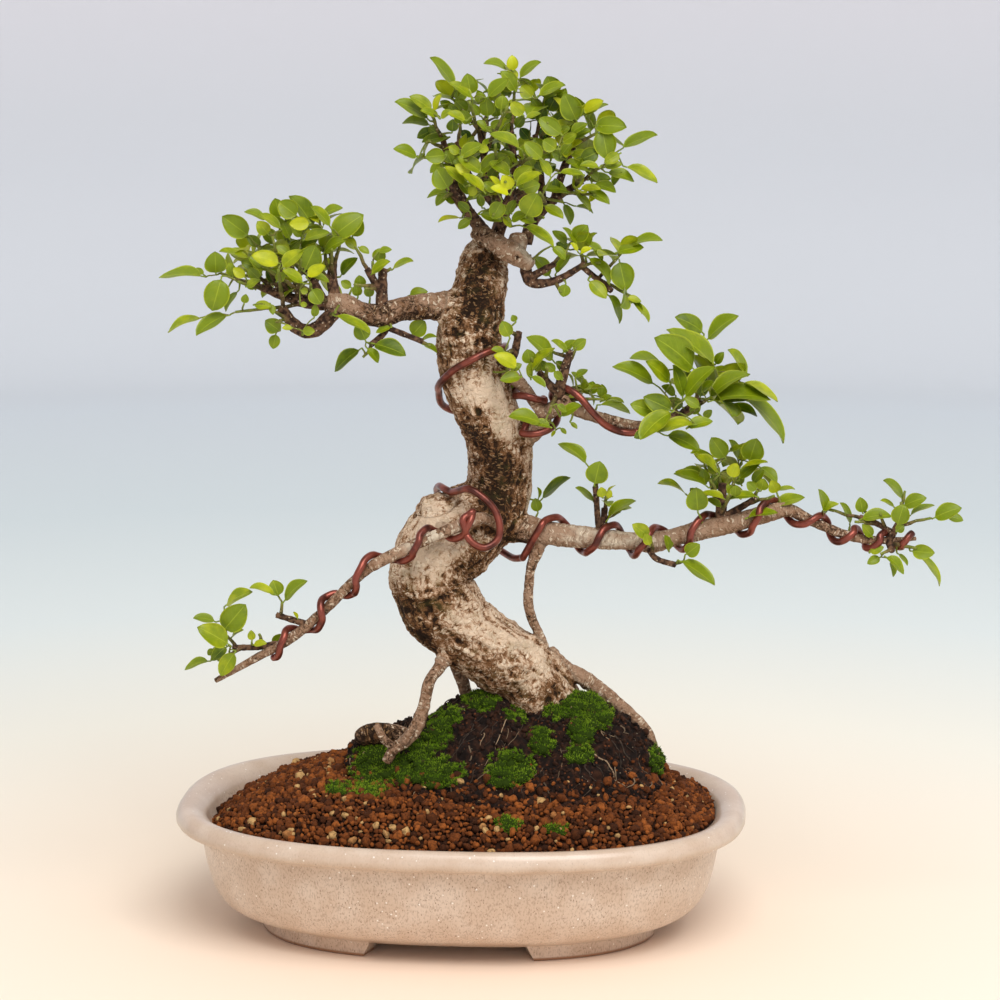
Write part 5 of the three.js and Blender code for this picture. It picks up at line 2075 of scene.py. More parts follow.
@dataclass
class Wires:
    """Two training wires: one from the low branch round the trunk to the right, and one higher up.

    `left` and `right` are the x of each place where the low wire crosses the front of its branches.
    """

    radius: float = 1.9
    sides: int = 12
    swell: float = 1.06
    clear: float = 0.2
    turn_steps: int = 10
    left: tuple[float, ...] = (-90.5, -70.5, -52.5, -22.5, 3)
    right: tuple[float, ...] = (40, 71.5, 94.5, 118, 152, 178.5, 197.5, 213, 227.5)

    def build(self) -> None:
        """Adds both wires."""
        rows = limb_rows(["trunk", *(name for name in LIMBS if name != "cut_lobe")])
        low = [
            *self.winding(LIMBS["low_left"], self.left, -0.3, 0.15),
            *self.lay(LOW_ROUTE, rows),
            *self.winding(LIMBS["right_branch"], self.right, 0.05, 0.2),
        ]
        for node, line in (("wire_low", low), ("wire_high", self.lay(HIGH_ROUTE, rows))):
            fine = smooth_line(line, 1.1)
            shape = Shape()
            shape.add(*tube(fine, np.full(len(fine), self.radius), self.sides))
            shape.piece(node, "wire", COPPER)

    def reach(self, radius: float) -> float:
        """How far from a limb's middle a wire on its bark runs."""
        return radius * self.swell + self.radius + self.clear

    def winding(self, knots: Line, crossings: Sequence[float], start: float, extra: float) -> list:
        """A wire wound round a branch.

        Args:
            knots: The branch.
            crossings: The x of each place where the wire crosses the branch's front.
            start: Turns before the first crossing, as a negative share of one.
            extra: Turns after the last crossing.

        Returns:
            Points of the wire.
        """
        rows = smooth_line(knots, 2.0)
        gaps = len(crossings) - 1
        found = []
        for turn in np.linspace(start, gaps + extra, round((gaps - start + extra) * self.turn_steps) + 1):
            k = min(max(math.floor(turn), 0), gaps - 1)
            x = crossings[k] + (turn - k) * (crossings[k + 1] - crossings[k])
            near = int(np.abs(rows[:, 0] - x).argmin())
            way = unit(rows[min(near + 1, len(rows) - 1), :3] - rows[max(near - 1, 0), :3])
            front = unit(np.array([0.0, -1.0, 0.0]) + way * way[1])
            rise = np.cross(front, way) * math.copysign(1, way[0])
            angle = 2 * math.pi * turn
            out = front * math.cos(angle) + rise * math.sin(angle)
            found.append(rows[near, :3] + out * self.reach(rows[near, 3]))
        return found

    def lay(self, route: Line, rows: np.ndarray) -> list:
        """A route pushed out, where it has to be, to lie on the bark.

        Args:
            route: Its points.
            rows: The wood's stations: x, y, z and radius.

        Returns:
            Points of the wire.
        """
        found = []
        for spot in smooth_line(route, 3.5):
            for _ in range(2):
                away = np.linalg.norm(spot - rows[:, :3], axis=1) - self.swell * rows[:, 3]
                near = int(away.argmin())
                lacking = self.radius + self.clear - away[near]
                if lacking > 0:
                    spot = spot + unit(spot - rows[near, :3]) * lacking
            found.append(spot)
        return found


# The sprays


@dataclass(frozen=True)
class Blade:
    """Where one leaf grows and how it is held."""

    base: np.ndarray
    along: np.ndarray
    face: np.ndarray
    size: float
    curl: float
    tone: float
    half_width: float = 0.29

    def tip(self) -> np.ndarray:
        """Where the leaf ends."""
        reach, sink = math.sin(self.curl) / self.curl, (1 - math.cos(self.curl)) / self.curl
        return self.base + (self.along * reach - self.face * sink) * self.size


@dataclass(frozen=True)
class SeenLeaf:
    """A leaf that the photo shows: its foot, its tip and how wide it looks, all in the photo's pixels.

    `depth` is how far back it grows, in millimetres, and `tone` runs from 0, deep green, to 100, yellow.
    The low tones of leaves set deep inside the crown are painted shade.
    """

    foot_across: float
    foot_down: float
    tip_across: float
    tip_down: float
    wide: float
    depth: float
    tone: float
    narrowest: float = 0.3
    widest: float = 0.45
    fuller: float = 1.18

    def marks(self) -> np.ndarray:
        """Its foot, middle and tip in the photo.

        Returns:
            Rows of pixels across and down.
        """
        foot = np.array([self.foot_across, self.foot_down])
        tip = np.array([self.tip_across, self.tip_down])
        return np.array([foot, (foot + tip) / 2, tip])

    def blade(self, random: Draw) -> Blade:
        """Holds the leaf so that it looks as it does in the photo.

        Args:
            random: Draws for what the photo can't tell: how far the tip leans in or out, and the curl.

        Returns:
            The leaf in the part's own frame.
        """
        foot = photo_spot(self.foot_across, self.foot_down, self.depth)
        flat = float(np.linalg.norm(photo_spot(self.tip_across, self.tip_down, self.depth) - foot))
        tip = photo_spot(self.tip_across, self.tip_down, self.depth + (0.45 * random() - 0.35) * flat)
        length = float(np.linalg.norm(tip - foot))
        chord = (tip - foot) / length
        back = np.array(PHOTO.place) - foot
        near = unit(back - chord * float(back @ chord))
        up = np.cross(chord, near)
        if up[2] < 0.2 * (random() - 0.5):
            up = -up
        wide = self.fuller * self.wide * float(np.linalg.norm(back)) / PHOTO.pixels()
        half_width = min(max(self.narrowest, wide / length / 2), self.widest)
        turn = math.acos(min(1.0, wide / length / 2 / half_width))
        face = near * math.cos(turn) + up * math.sin(turn)
        curl = 0.3 + 0.5 * random()
        along = chord * math.cos(curl / 2) + face * math.sin(curl / 2)
        face = face * math.cos(curl / 2) - chord * math.sin(curl / 2)
        size = length * curl / 2 / math.sin(curl / 2)
        return Blade(foot, along, face, size, curl, self.tone / 100, half_width)


@dataclass
class Spray:
    """A leafy spray: woody limbs, twigs and the leaves at their ends.

    Each of `shoots` is a twig tip's x, y and z, how many leaves stand round it, and their length. A leaf
    grows only where it shows within `cover` pixels of one that the photo shows.
    """

    node: str
    seed: int
    limbs: list[Line]
    shoots: Line
    rise: float = 0.35
    inset: float = 2.0
    apart: float = 4.0
    leafy: float = 6.0
    cover: float = 19.0
    close: float = 1.0
    stem_sides: int = 9
    twig_foot: float = 1.25
    twig_tip: float = 0.7
    stem_foot: float = 0.75
    stalk: float = 0.42
    stalk_share: float = 0.1
    rows: int = 10
    columns: int = 6
    thick: float = 0.28
    wood: list[np.ndarray] = field(default_factory=list)

    def build(self) -> None:
        """Adds the spray."""
        shape = Shape()
        self.wood = [limb_rows(["trunk", *LIMBS])]
        for knots in self.limbs:
            fine = smooth_line(knots, 1.5)
            self.wood.append(fine)
            self.add_stem(shape, fine[:, :3], fine[:, 3] * 0.9, 0.0)
        random, tones, leans = draws(self.seed), draws(self.seed + 500), draws(self.seed + 900)
        seen = [SeenLeaf(*row) for row in SEEN_LEAVES[self.node]]
        marks = np.vstack([leaf.marks() for leaf in seen])
        taken: list[tuple[int, float]] = []
        for shoot in self.shoots:
            for blade in self.add_shoot(shape, shoot, taken, random, tones):
                shown = seen_at(np.array([blade.tip(), blade.base]))
                if all(np.linalg.norm(marks - spot, axis=1).min() < self.cover for spot in shown):
                    self.add_leaf(shape, blade)
        for leaf in seen:
            blade = leaf.blade(leans)
            self.join(shape, blade.base)
            self.add_leaf(shape, blade)
        shape.piece(self.node, "foliage", TWIG_BARK, LEAF_SKIN)

    def join(self, shape: Shape, base: np.ndarray) -> None:
        """Carries a leaf's foot by a green stem from the nearest wood, where it isn't on wood already.

        Args:
            shape: Where the stem is added.
            base: The leaf's foot.
        """
        wood = np.vstack(self.wood)
        gaps = np.linalg.norm(wood[:, :3] - base, axis=1) - wood[:, 3]
        near = wood[int(gaps.argmin())]
        if gaps.min() < self.close:
            return
        way = unit(base - near[:3])
        line = self.twig_line(near[:3] + way * near[3] * 0.5, base)
        line[:, 2] += 0.08 * float(gaps.min()) * np.sin(np.linspace(0, math.pi, len(line)))
        shares = np.linspace(0, 1, len(line))
        radii = min(self.stem_foot, 0.7 * near[3]) * (1 - shares) + self.stalk * shares
        self.add_stem(shape, line, radii, 0.35 + 0.5 * shares)
        self.wood.append(np.column_stack([line, radii]))

    def add_stem(self, shape: Shape, line: np.ndarray, radii: np.ndarray, green: object) -> None:
        """Adds a knobby stem.

        Args:
            shape: Where it is added.
            line: The points that it runs through.
            radii: Its radius at each of them.
            green: How green it is, in all or at each of them.
        """
        radii = radii * (1 + 0.16 * lumps(line, 2.6, self.seed))
        points, faces = tube(line, radii, self.stem_sides)
        ends = np.broadcast_to(green, len(line))
        shade = np.concatenate([np.repeat(ends, self.stem_sides), [ends[0], ends[-1]]])
        shape.add(points, faces, 0, side=0.0, along=0.0, tone=0.0, under=0.0, green=shade)

    def foot(self, tip: np.ndarray, taken: list[tuple[int, float]]) -> tuple[np.ndarray, float]:
        """Where a twig leaves its limb: as near to its tip as other twigs on that limb let it.

        Args:
            tip: The twig's tip.
            taken: The limb and the distance along it of each twig so far. The new one is added.

        Returns:
            The place, and the limb's radius there.
        """
        best = (math.inf, 0, 0.0)
        for which, knots in enumerate(self.limbs):
            rows, passed = np.array(knots, float), 0.0
            for here, there in zip(rows, rows[1:]):
                line = (there - here)[:3]
                share = min(max(float((tip - here[:3]) @ line / (line @ line)), 0.0), 1.0)
                distance = float(np.linalg.norm(here[:3] + line * share - tip))
                length = float(np.linalg.norm(line))
                if distance < best[0]:
                    best = (distance, which, passed + share * length)
                passed += length
            if best[1] == which:
                best = (best[0], which, min(best[2], passed - self.inset))
        which, along = best[1], best[2]
        others = [place for limb, place in taken if limb == which]
        free = [along - i for i in range(40) if all(abs(o - (along - i)) >= self.apart for o in others)]
        along = max(free[0] if free else along, 0.3 * along)
        taken.append((which, along))
        rows = np.array(self.limbs[which], float)
        lengths = np.linalg.norm(np.diff(rows[:, :3], axis=0), axis=1)
        part = 0
        while along > lengths[part] and part < len(lengths) - 1:
            along -= float(lengths[part])
            part += 1
        found = rows[part] + (rows[part + 1] - rows[part]) * (along / float(lengths[part]))
        return found[:3], float(found[3])

    def add_shoot(
        self, shape: Shape, shoot: list[float], taken: list[tuple[int, float]], random: Draw, tones: Draw
    ) -> list[Blade]:
        """Adds one twig, and sets leaves round its end at the golden angle.

        Args:
            shape: Where the twig is added.
            shoot: The tip's x, y and z, how many leaves, and their length.
            taken: The feet of the spray's twigs so far.
            random: Draws for the leaves' directions.
            tones: Draws for their colours.

        Returns:
            The leaves.
        """
        tip, count, length = np.array(shoot[:3], float), int(shoot[3]), shoot[4]
        foot, radius = self.foot(tip, taken)
        reach = float(np.linalg.norm(tip - foot))
        heading = unit(tip - foot)
        axis = unit(heading + np.array([0, 0, self.rise]))
        outward = unit(np.array([1.0, 0, 0]) - axis * axis[0])
        across = np.cross(axis, outward)
        line = self.twig_line(foot, tip)
        shares = np.linspace(0, 1, len(line))
        radii = min(self.twig_foot, 0.6 * radius) * (1 - shares) + self.twig_tip * shares
        self.add_stem(shape, line, radii, shares**1.6 * 0.7)
        self.wood.append(np.column_stack([line, radii]))
        start = 2 * math.pi * random()
        back = min(self.leafy, 0.45 * reach)
        shoot_tone = 0.3 + 0.3 * tones()
        found = []
        for k in range(count):
            share = k / (count - 1) if count > 1 else 1.0
            around = start + k * GOLDEN_TURN + 0.5 * (random() - 0.5)
            lift = math.radians(12 + 50 * share + 14 * (random() - 0.5))
            size = length * (1 - 0.35 * share) * (0.88 + 0.24 * random())
            curl = math.radians(20 + 40 * random())
            out = outward * math.cos(around) + across * math.sin(around)
            along = out * math.cos(lift) + axis * math.sin(lift)
            face = axis + np.array([0, 0, 0.5])
            face = unit(face - along * float(face @ along))
            tone = shoot_tone + 0.3 * (tones() - 0.5) + 0.25 * share
            base = tip + heading * (share - 1) * back
            found.append(Blade(base, along, face, size, curl, tone))
        return found

    def twig_line(self, foot: np.ndarray, tip: np.ndarray) -> np.ndarray:
        """The twig's line, which bends a little at its joints.

        Args:
            foot: Where it starts.
            tip: Where it ends.

        Returns:
            Rows of x, y and z.
        """
        parts = max(3, round(float(np.linalg.norm(tip - foot)) / 1.8))
        line = foot + np.linspace(0, 1, parts + 1)[:, None] * (tip - foot)
        wander = [[noise.noise(Vector(p) / 5 + Vector((9 * i, 0, 0))) for i in range(3)] for p in line]
        return line + np.array(wander) * 0.9 * np.sin(np.linspace(0, math.pi, len(line)))[:, None]

    def add_leaf(self, shape: Shape, blade: Blade) -> None:
        """Adds a leaf: its stalk, and a blade folded along the midrib and curled down to its tip.

        Args:
            shape: Where it is added.
            blade: How it is held.
        """
        left = np.cross(blade.face, blade.along)
        stalk = self.stalk_share * blade.size
        foot = blade.base + blade.along * stalk
        line = blade.base + np.linspace(-0.02, 1.04, 4)[:, None] * (foot - blade.base)
        points, faces = tube(line, np.full(4, self.stalk), 6)
        shape.add(points, faces, 0, side=0.0, along=0.0, tone=0.0, under=0.0, green=1.0)
        size = blade.size - stalk
        shares = np.linspace(0, 1, self.rows + 1)
        width = np.sin(math.pi * shares**0.92) ** 0.6 * (1 - 0.22 * shares**3)
        width = np.maximum(width * blade.half_width * blade.size, 0.12)
        sides = np.linspace(-1, 1, self.columns + 1)
        angle = blade.curl * shares
        forward = size * np.sin(angle) / blade.curl
        sink = size * (1 - np.cos(angle)) / blade.curl
        wave = 0.025 * size * np.sin(7 * shares + 45 * blade.tone)
        rings = []
        for level in (self.thick / 2, -self.thick / 2):
            for i in range(len(shares)):
                lift = 0.26 * width[i] * np.abs(sides) ** 1.3 + wave[i] * sides**2
                lift += level * (1 - 0.7 * sides**2)
                ring = np.outer(forward[i] + lift * math.sin(angle[i]), blade.along)
                ring += np.outer(lift * math.cos(angle[i]) - sink[i], blade.face)
                rings.append(foot + ring + np.outer(sides * width[i], left))
        marks = {
            "side": np.tile(sides, 2 * len(shares)),
            "along": np.tile(np.repeat(shares, len(sides)), 2),
            "under": np.repeat([0.0, 1.0], len(shares) * len(sides)),
        }
        shape.add(np.vstack(rings), self.blade_faces(), 1, tone=blade.tone, green=0.0, **marks)

    def blade_faces(self) -> Faces:
        """The faces of a blade: its upper skin, its lower skin and the rim between them.

        Returns:
            The faces.
        """
        rows, columns = self.rows + 1, self.columns + 1
        upper = [face[::-1] for face in grid_faces(rows, columns, closed=False)]
        low = rows * columns
        lower = [tuple(i + low for i in face[::-1]) for face in upper]
        rim = [i * columns for i in range(rows)]
        rim += [(rows - 1) * columns + k for k in range(1, columns)]
        rim += [i * columns + columns - 1 for i in range(rows - 2, -1, -1)]
        rim += list(range(columns - 2, 0, -1))
        edge = [(here, there, there + low, here + low) for here, there in zip(rim, [*rim[1:], rim[0]])]
        return [*upper, *lower, *edge]


# The leaves that show from the front, as read off the photo, each with the values of a SeenLeaf.
# Low tones of the leaves set deep inside the crown are painted shade.
SEEN_LEAVES: dict[str, Line] = {
    "spray_crown_front": [
        [456, 90, 429, 58, 10, -10, 45], [471, 96, 467, 73, 15, -14, 55], [473, 100, 448, 84, 8, -18, 60],
        [487, 98, 509, 79, 12, -15, 55], [501, 111, 503, 95, 14, -22, 50],
        [524, 116, 511, 102, 12, -26, 70], [525, 119, 541, 114, 5, -20, 60],
        [488, 118, 486, 98, 14, -10, 35], [478, 104, 482, 92, 10, -12, 50],
        [468, 112, 455, 100, 12, -6, 35], [440, 119, 453, 111, 6, -20, 65],
        [467, 121, 447, 113, 7, -24, 65], [452, 133, 453, 119, 11, -8, 25],
        [470, 125, 462, 110, 10, -14, 40], [490, 128, 502, 120, 8, -20, 50],
        [430, 121, 394, 103, 12, -8, 45], [433, 112, 409, 97, 10, -12, 60],
        [434, 112, 442, 95, 6, -14, 90], [432, 126, 402, 124, 8, -8, 50], [435, 129, 417, 138, 10, 0, 20],
        [450, 137, 422, 143, 9, -4, 30], [447, 155, 425, 157, 14, -24, 50],
        [419, 158, 393, 149, 10, -10, 50], [460, 154, 449, 146, 8, -30, 65],
        [459, 158, 483, 145, 11, -32, 55], [478, 147, 489, 150, 8, -36, 70],
        [449, 190, 436, 168, 20, -30, 45], [465, 187, 444, 167, 9, -34, 70],
        [470, 176, 455, 165, 9, -36, 85], [483, 174, 457, 157, 12, -34, 55],
        [486, 194, 461, 174, 8, -40, 70], [474, 198, 471, 184, 8, -40, 65],
        [476, 177, 508, 156, 11, -30, 50], [510, 168, 497, 153, 9, -26, 45],
        [512, 176, 488, 163, 10, -32, 55], [513, 182, 532, 166, 14, -38, 60],
        [514, 188, 542, 174, 8, -42, 70], [512, 190, 502, 175, 12, -44, 95],
        [510, 195, 490, 188, 8, -46, 95], [500, 187, 489, 177, 5, -42, 85],
        [497, 192, 484, 182, 9, -36, 50], [452, 191, 427, 198, 6, -10, 50],
        [449, 192, 436, 206, 8, -14, 50], [462, 218, 438, 223, 4, -15, 90],
        [471, 219, 458, 229, 8, -20, 50], [502, 201, 492, 219, 14, -36, 45],
        [478, 214, 502, 222, 9, -32, 45], [502, 216, 510, 228, 6, -28, 60],
        [522, 226, 553, 248, 9, -24, 60], [551, 246, 565, 260, 8, -18, 50],
        [510, 222, 528, 214, 8, -30, 50], [536, 222, 518, 219, 8, -30, 55],
        [525, 217, 538, 193, 22, -34, 55], [521, 190, 540, 184, 13, -34, 55],
        [522, 150, 489, 135, 9, -34, 55], [523, 160, 527, 143, 11, -28, 50],
        [543, 160, 524, 142, 13, -34, 55], [455, 100, 466, 88, 12, -6, 35],
        [458, 118, 449, 104, 10, -8, 35], [462, 124, 456, 112, 9, -10, 30], [484, 106, 477, 90, 9, -4, 45],
        [498, 118, 494, 104, 10, -2, 25], [505, 125, 515, 112, 10, 0, 25], [512, 130, 500, 124, 8, -4, 30],
        [440, 117, 420, 111, 7, -14, 60], [452, 108, 440, 101, 8, -6, 40],
        [487, 130, 476, 121, 6, -16, 50], [480, 116, 472, 104, 8, -12, 50], [456, 98, 446, 84, 8, 0, 40],
        [545, 150, 533, 138, 9, -12, 35], [533, 168, 523, 150, 12, -20, 35],
        [541, 172, 536, 156, 10, -16, 25], [452, 164, 446, 150, 9, -12, 30],
        [465, 172, 453, 160, 8, -20, 35], [488, 180, 499, 164, 10, -24, 35],
        [503, 172, 510, 156, 10, -24, 30], [524, 190, 516, 176, 8, -26, 50],
        [470, 196, 458, 180, 9, -28, 40], [482, 208, 478, 194, 7, -26, 30],
        [508, 214, 516, 200, 8, -22, 35], [512, 214, 498, 206, 8, -22, 40],
        [470, 212, 458, 202, 8, -20, 35], [456, 204, 443, 194, 8, -10, 35],
        [441, 136, 428, 127, 8, -2, 30], [500, 152, 490, 140, 9, 4, 10], [516, 154, 506, 142, 10, 6, 8],
        [480, 150, 468, 140, 9, 6, 8], [470, 162, 480, 150, 9, 2, 10], [470, 140, 462, 130, 9, 4, 12],
        [520, 206, 532, 214, 9, -8, 15],
    ],
    "spray_crown_side": [
        [556, 96, 547, 76, 18, 10, 40], [537, 97, 566, 86, 9, -5, 60], [577, 122, 564, 93, 19, -12, 40],
        [583, 114, 604, 101, 11, -5, 85], [593, 126, 627, 128, 16, -5, 45],
        [602, 127, 608, 160, 20, -8, 40], [620, 150, 658, 136, 10, 0, 45],
        [600, 151, 580, 160, 14, -10, 25], [621, 153, 604, 163, 10, -14, 65],
        [623, 166, 657, 184, 9, -4, 70], [605, 172, 634, 182, 9, -8, 50], [588, 180, 611, 180, 9, 5, 30],
        [592, 184, 616, 193, 9, -5, 50], [585, 190, 609, 205, 9, -8, 45], [597, 192, 590, 202, 6, -6, 90],
        [563, 202, 570, 225, 8, 0, 35], [574, 206, 593, 214, 4, 0, 50], [543, 205, 563, 219, 9, -14, 60],
        [563, 136, 539, 118, 15, -28, 50], [562, 143, 577, 134, 9, -22, 60],
        [557, 150, 543, 140, 16, -32, 60], [551, 178, 539, 160, 8, -30, 60],
        [557, 191, 555, 178, 8, -10, 25], [558, 173, 584, 176, 6, -24, 60],
        [570, 135, 588, 124, 8, -16, 40], [574, 139, 592, 131, 7, -12, 35],
        [600, 168, 580, 166, 6, -20, 60], [603, 168, 622, 165, 8, -12, 60],
        [566, 160, 552, 152, 9, -12, 30], [552, 124, 566, 112, 10, 0, 25], [558, 104, 566, 88, 10, 6, 35],
        [566, 138, 580, 124, 9, -4, 30], [588, 122, 584, 108, 5, -4, 50], [560, 158, 572, 143, 9, -14, 35],
        [572, 172, 583, 157, 8, -10, 30], [556, 136, 571, 127, 8, -10, 40],
        [590, 172, 565, 163, 8, -8, 45], [600, 181, 584, 170, 8, -2, 35], [612, 186, 622, 172, 7, -4, 40],
        [566, 116, 558, 104, 9, 2, 25], [545, 172, 556, 164, 9, 4, 12],
    ],
    "spray_crown_back": [
        [510, 71, 483, 64, 7, 5, 50], [513, 72, 512, 55, 10, 2, 95], [519, 80, 542, 63, 8, 0, 45],
        [516, 92, 500, 71, 12, -6, 50], [533, 90, 519, 79, 9, 8, 45], [533, 98, 521, 86, 13, -5, 60],
        [548, 112, 556, 96, 14, 2, 20], [537, 120, 527, 106, 10, 4, 30], [509, 97, 503, 84, 10, 0, 40],
        [515, 128, 524, 116, 9, 0, 30], [538, 122, 545, 106, 12, 0, 20], [540, 110, 532, 98, 10, 0, 30],
        [530, 140, 520, 128, 10, 8, 10], [548, 140, 540, 128, 10, 8, 10], [500, 140, 508, 130, 9, 8, 10],
    ],
    "spray_crown_right": [
        [573, 241, 588, 225, 15, -8, 50], [568, 245, 552, 231, 8, -6, 40],
        [577, 247, 562, 228, 5, -10, 60], [570, 250, 556, 243, 9, 0, 20], [583, 240, 602, 262, 7, -4, 40],
        [626, 247, 663, 241, 8, -4, 50], [615, 253, 644, 248, 11, -8, 55],
        [619, 259, 626, 291, 21, -8, 40], [586, 256, 609, 286, 9, -12, 50],
        [551, 278, 533, 257, 12, 2, 35], [555, 275, 571, 255, 8, -6, 55],
        [566, 283, 563, 297, 13, -12, 50], [588, 280, 606, 299, 12, -14, 60],
        [606, 293, 618, 324, 7, -8, 30], [626, 298, 641, 302, 6, -12, 70],
        [630, 301, 648, 323, 6, -10, 60], [580, 254, 592, 248, 5, -16, 95],
        [578, 252, 570, 243, 4, -14, 90],
    ],
    "spray_left": [
        [250, 237, 222, 216, 19, -10, 45], [268, 221, 244, 212, 7, -16, 50],
        [269, 235, 257, 221, 12, -22, 65], [280, 219, 275, 198, 15, -6, 55],
        [298, 217, 279, 202, 17, -18, 60], [282, 230, 258, 216, 8, -20, 60],
        [314, 232, 288, 196, 15, -2, 35], [311, 223, 289, 224, 12, -26, 85],
        [331, 228, 310, 207, 9, -20, 60], [320, 216, 343, 208, 8, -6, 50],
        [330, 240, 364, 215, 20, -14, 55], [352, 238, 360, 216, 15, -8, 50],
        [302, 241, 330, 233, 9, -22, 55], [323, 254, 347, 240, 10, -16, 35],
        [345, 236, 356, 250, 9, -6, 70], [281, 264, 251, 256, 14, -34, 85],
        [281, 269, 304, 251, 12, -36, 70], [271, 272, 248, 258, 11, -30, 45],
        [304, 272, 316, 245, 22, -34, 40], [306, 277, 326, 266, 10, -40, 85],
        [304, 284, 282, 271, 9, -42, 60], [308, 276, 329, 283, 6, -36, 55],
        [290, 240, 282, 222, 9, -16, 40], [303, 236, 292, 230, 7, -18, 50],
        [262, 247, 247, 236, 10, -10, 30], [247, 238, 228, 234, 5, -8, 40],
        [251, 260, 219, 252, 6, -16, 60], [257, 268, 241, 261, 9, -18, 35],
        [216, 275, 215, 251, 19, -20, 40], [206, 277, 159, 279, 9, -14, 55],
        [204, 275, 196, 268, 5, -8, 60], [222, 276, 212, 311, 22, -30, 50],
        [233, 277, 229, 262, 9, -22, 55], [246, 278, 233, 268, 9, -26, 90],
        [260, 280, 248, 268, 10, -26, 40], [246, 287, 259, 280, 7, -30, 60],
        [239, 290, 226, 312, 6, -20, 35], [229, 286, 223, 293, 5, -20, 50],
        [244, 304, 246, 294, 7, -28, 55], [230, 315, 197, 337, 12, -26, 45],
        [204, 317, 168, 333, 7, -20, 65], [253, 305, 272, 308, 8, -34, 60],
        [270, 303, 273, 315, 6, -34, 55], [280, 331, 265, 320, 14, -30, 35],
        [276, 333, 273, 349, 10, -26, 50], [293, 328, 282, 328, 5, -38, 80],
        [302, 331, 315, 331, 8, -36, 60], [311, 288, 321, 304, 14, -40, 40],
        [314, 318, 315, 304, 7, -38, 40], [300, 290, 308, 292, 6, -40, 60],
        [300, 304, 307, 305, 5, -40, 60], [352, 288, 341, 281, 8, -16, 50],
        [340, 277, 358, 258, 9, -8, 25], [361, 288, 359, 275, 12, -12, 50],
        [358, 297, 356, 284, 9, -14, 45], [370, 298, 368, 285, 9, -14, 45],
        [276, 282, 285, 272, 8, -30, 50], [290, 256, 276, 246, 8, -26, 55],
        [288, 252, 300, 240, 9, -14, 35], [274, 244, 262, 232, 8, -10, 30],
        [285, 240, 272, 216, 8, -14, 55], [290, 236, 284, 214, 7, -10, 45],
        [262, 275, 252, 255, 10, -20, 40], [300, 250, 318, 240, 9, -8, 20],
        [276, 282, 266, 270, 9, -10, 12], [296, 282, 286, 268, 9, -10, 12],
        [310, 262, 300, 250, 9, -4, 12], [270, 262, 262, 250, 8, -6, 15], [292, 296, 282, 284, 8, -16, 12],
        [318, 268, 308, 256, 9, -6, 15], [256, 290, 246, 280, 8, -18, 35], [330, 250, 320, 240, 9, -4, 15],
    ],
    "spray_left_inner": [
        [358, 247, 369, 254, 6, -14, 60], [377, 263, 381, 248, 12, -16, 50],
        [378, 252, 392, 250, 6, -18, 55], [371, 275, 391, 262, 8, -20, 60],
        [392, 270, 414, 262, 6, -16, 60], [408, 296, 428, 292, 9, -2, 55],
    ],
    "spray_left_under": [
        [366, 342, 358, 322, 15, -26, 35], [333, 315, 370, 335, 8, -34, 60],
        [371, 343, 406, 356, 14, -24, 25], [362, 348, 335, 372, 11, -24, 25],
        [366, 347, 378, 363, 8, -28, 50], [411, 336, 425, 321, 16, -8, 45],
        [392, 327, 376, 333, 6, -20, 55], [420, 341, 437, 337, 4, -10, 50],
        [422, 344, 437, 353, 5, -10, 50],
    ],
    "spray_trunk_side": [
        [516, 322, 512, 315, 7, -14, 50], [510, 338, 502, 321, 12, -22, 55],
        [505, 352, 491, 350, 6, -22, 60], [518, 368, 493, 356, 12, -26, 85],
        [522, 377, 500, 381, 10, -26, 55], [512, 394, 517, 383, 8, -2, 35],
    ],
    "spray_upper_right_inner": [
        [531, 365, 527, 349, 14, -16, 50], [555, 363, 526, 337, 13, -10, 50],
        [529, 374, 555, 348, 8, -20, 65], [568, 351, 551, 341, 6, -14, 60],
        [562, 354, 576, 340, 8, -8, 50], [572, 350, 586, 339, 10, -10, 55],
        [556, 372, 545, 363, 8, -18, 50], [562, 380, 554, 371, 7, -20, 55],
        [566, 370, 556, 361, 8, -6, 35], [530, 376, 545, 388, 6, -26, 60],
        [531, 380, 532, 362, 6, -24, 60], [585, 386, 571, 372, 6, -2, 40], [590, 395, 593, 381, 13, 2, 45],
        [602, 398, 602, 384, 9, 2, 45], [591, 395, 575, 387, 6, -4, 60], [605, 400, 624, 403, 5, 0, 60],
        [597, 405, 630, 415, 7, -4, 55], [543, 424, 508, 417, 12, -34, 50],
        [552, 428, 530, 424, 7, -34, 40], [560, 417, 582, 406, 9, -20, 45],
        [556, 430, 552, 437, 3, -14, 60], [560, 428, 566, 434, 4, -14, 60],
        [570, 422, 577, 429, 4, -14, 60], [548, 372, 540, 360, 8, -12, 40],
        [575, 378, 588, 370, 6, -6, 40], [536, 372, 538, 360, 7, -16, 45],
        [510, 372, 522, 364, 7, -18, 50], [556, 404, 566, 412, 6, -24, 40], [600, 402, 612, 396, 5, 0, 50],
    ],
    "spray_upper_right_end": [
        [704, 334, 674, 318, 14, 4, 30], [705, 342, 739, 316, 13, 0, 50],
        [696, 372, 653, 338, 24, -20, 40], [718, 372, 665, 331, 15, -12, 55],
        [668, 370, 629, 359, 8, -10, 50], [657, 386, 612, 367, 13, -20, 50],
        [671, 384, 645, 362, 13, -26, 60], [683, 400, 672, 365, 12, -28, 30],
        [683, 401, 716, 367, 14, -30, 50], [715, 365, 724, 352, 8, -2, 35],
        [748, 376, 727, 350, 9, -6, 60], [707, 400, 751, 375, 12, -22, 50],
        [708, 402, 771, 402, 14, -26, 40], [740, 382, 777, 403, 7, -18, 70],
        [720, 404, 750, 400, 9, -14, 25], [728, 405, 757, 417, 8, -10, 35],
        [742, 398, 781, 445, 12, -16, 45], [673, 411, 643, 397, 17, -34, 30],
        [657, 413, 630, 404, 15, -32, 50], [674, 411, 641, 441, 17, -40, 60],
        [650, 430, 634, 438, 9, -34, 25], [697, 425, 657, 434, 10, -42, 70],
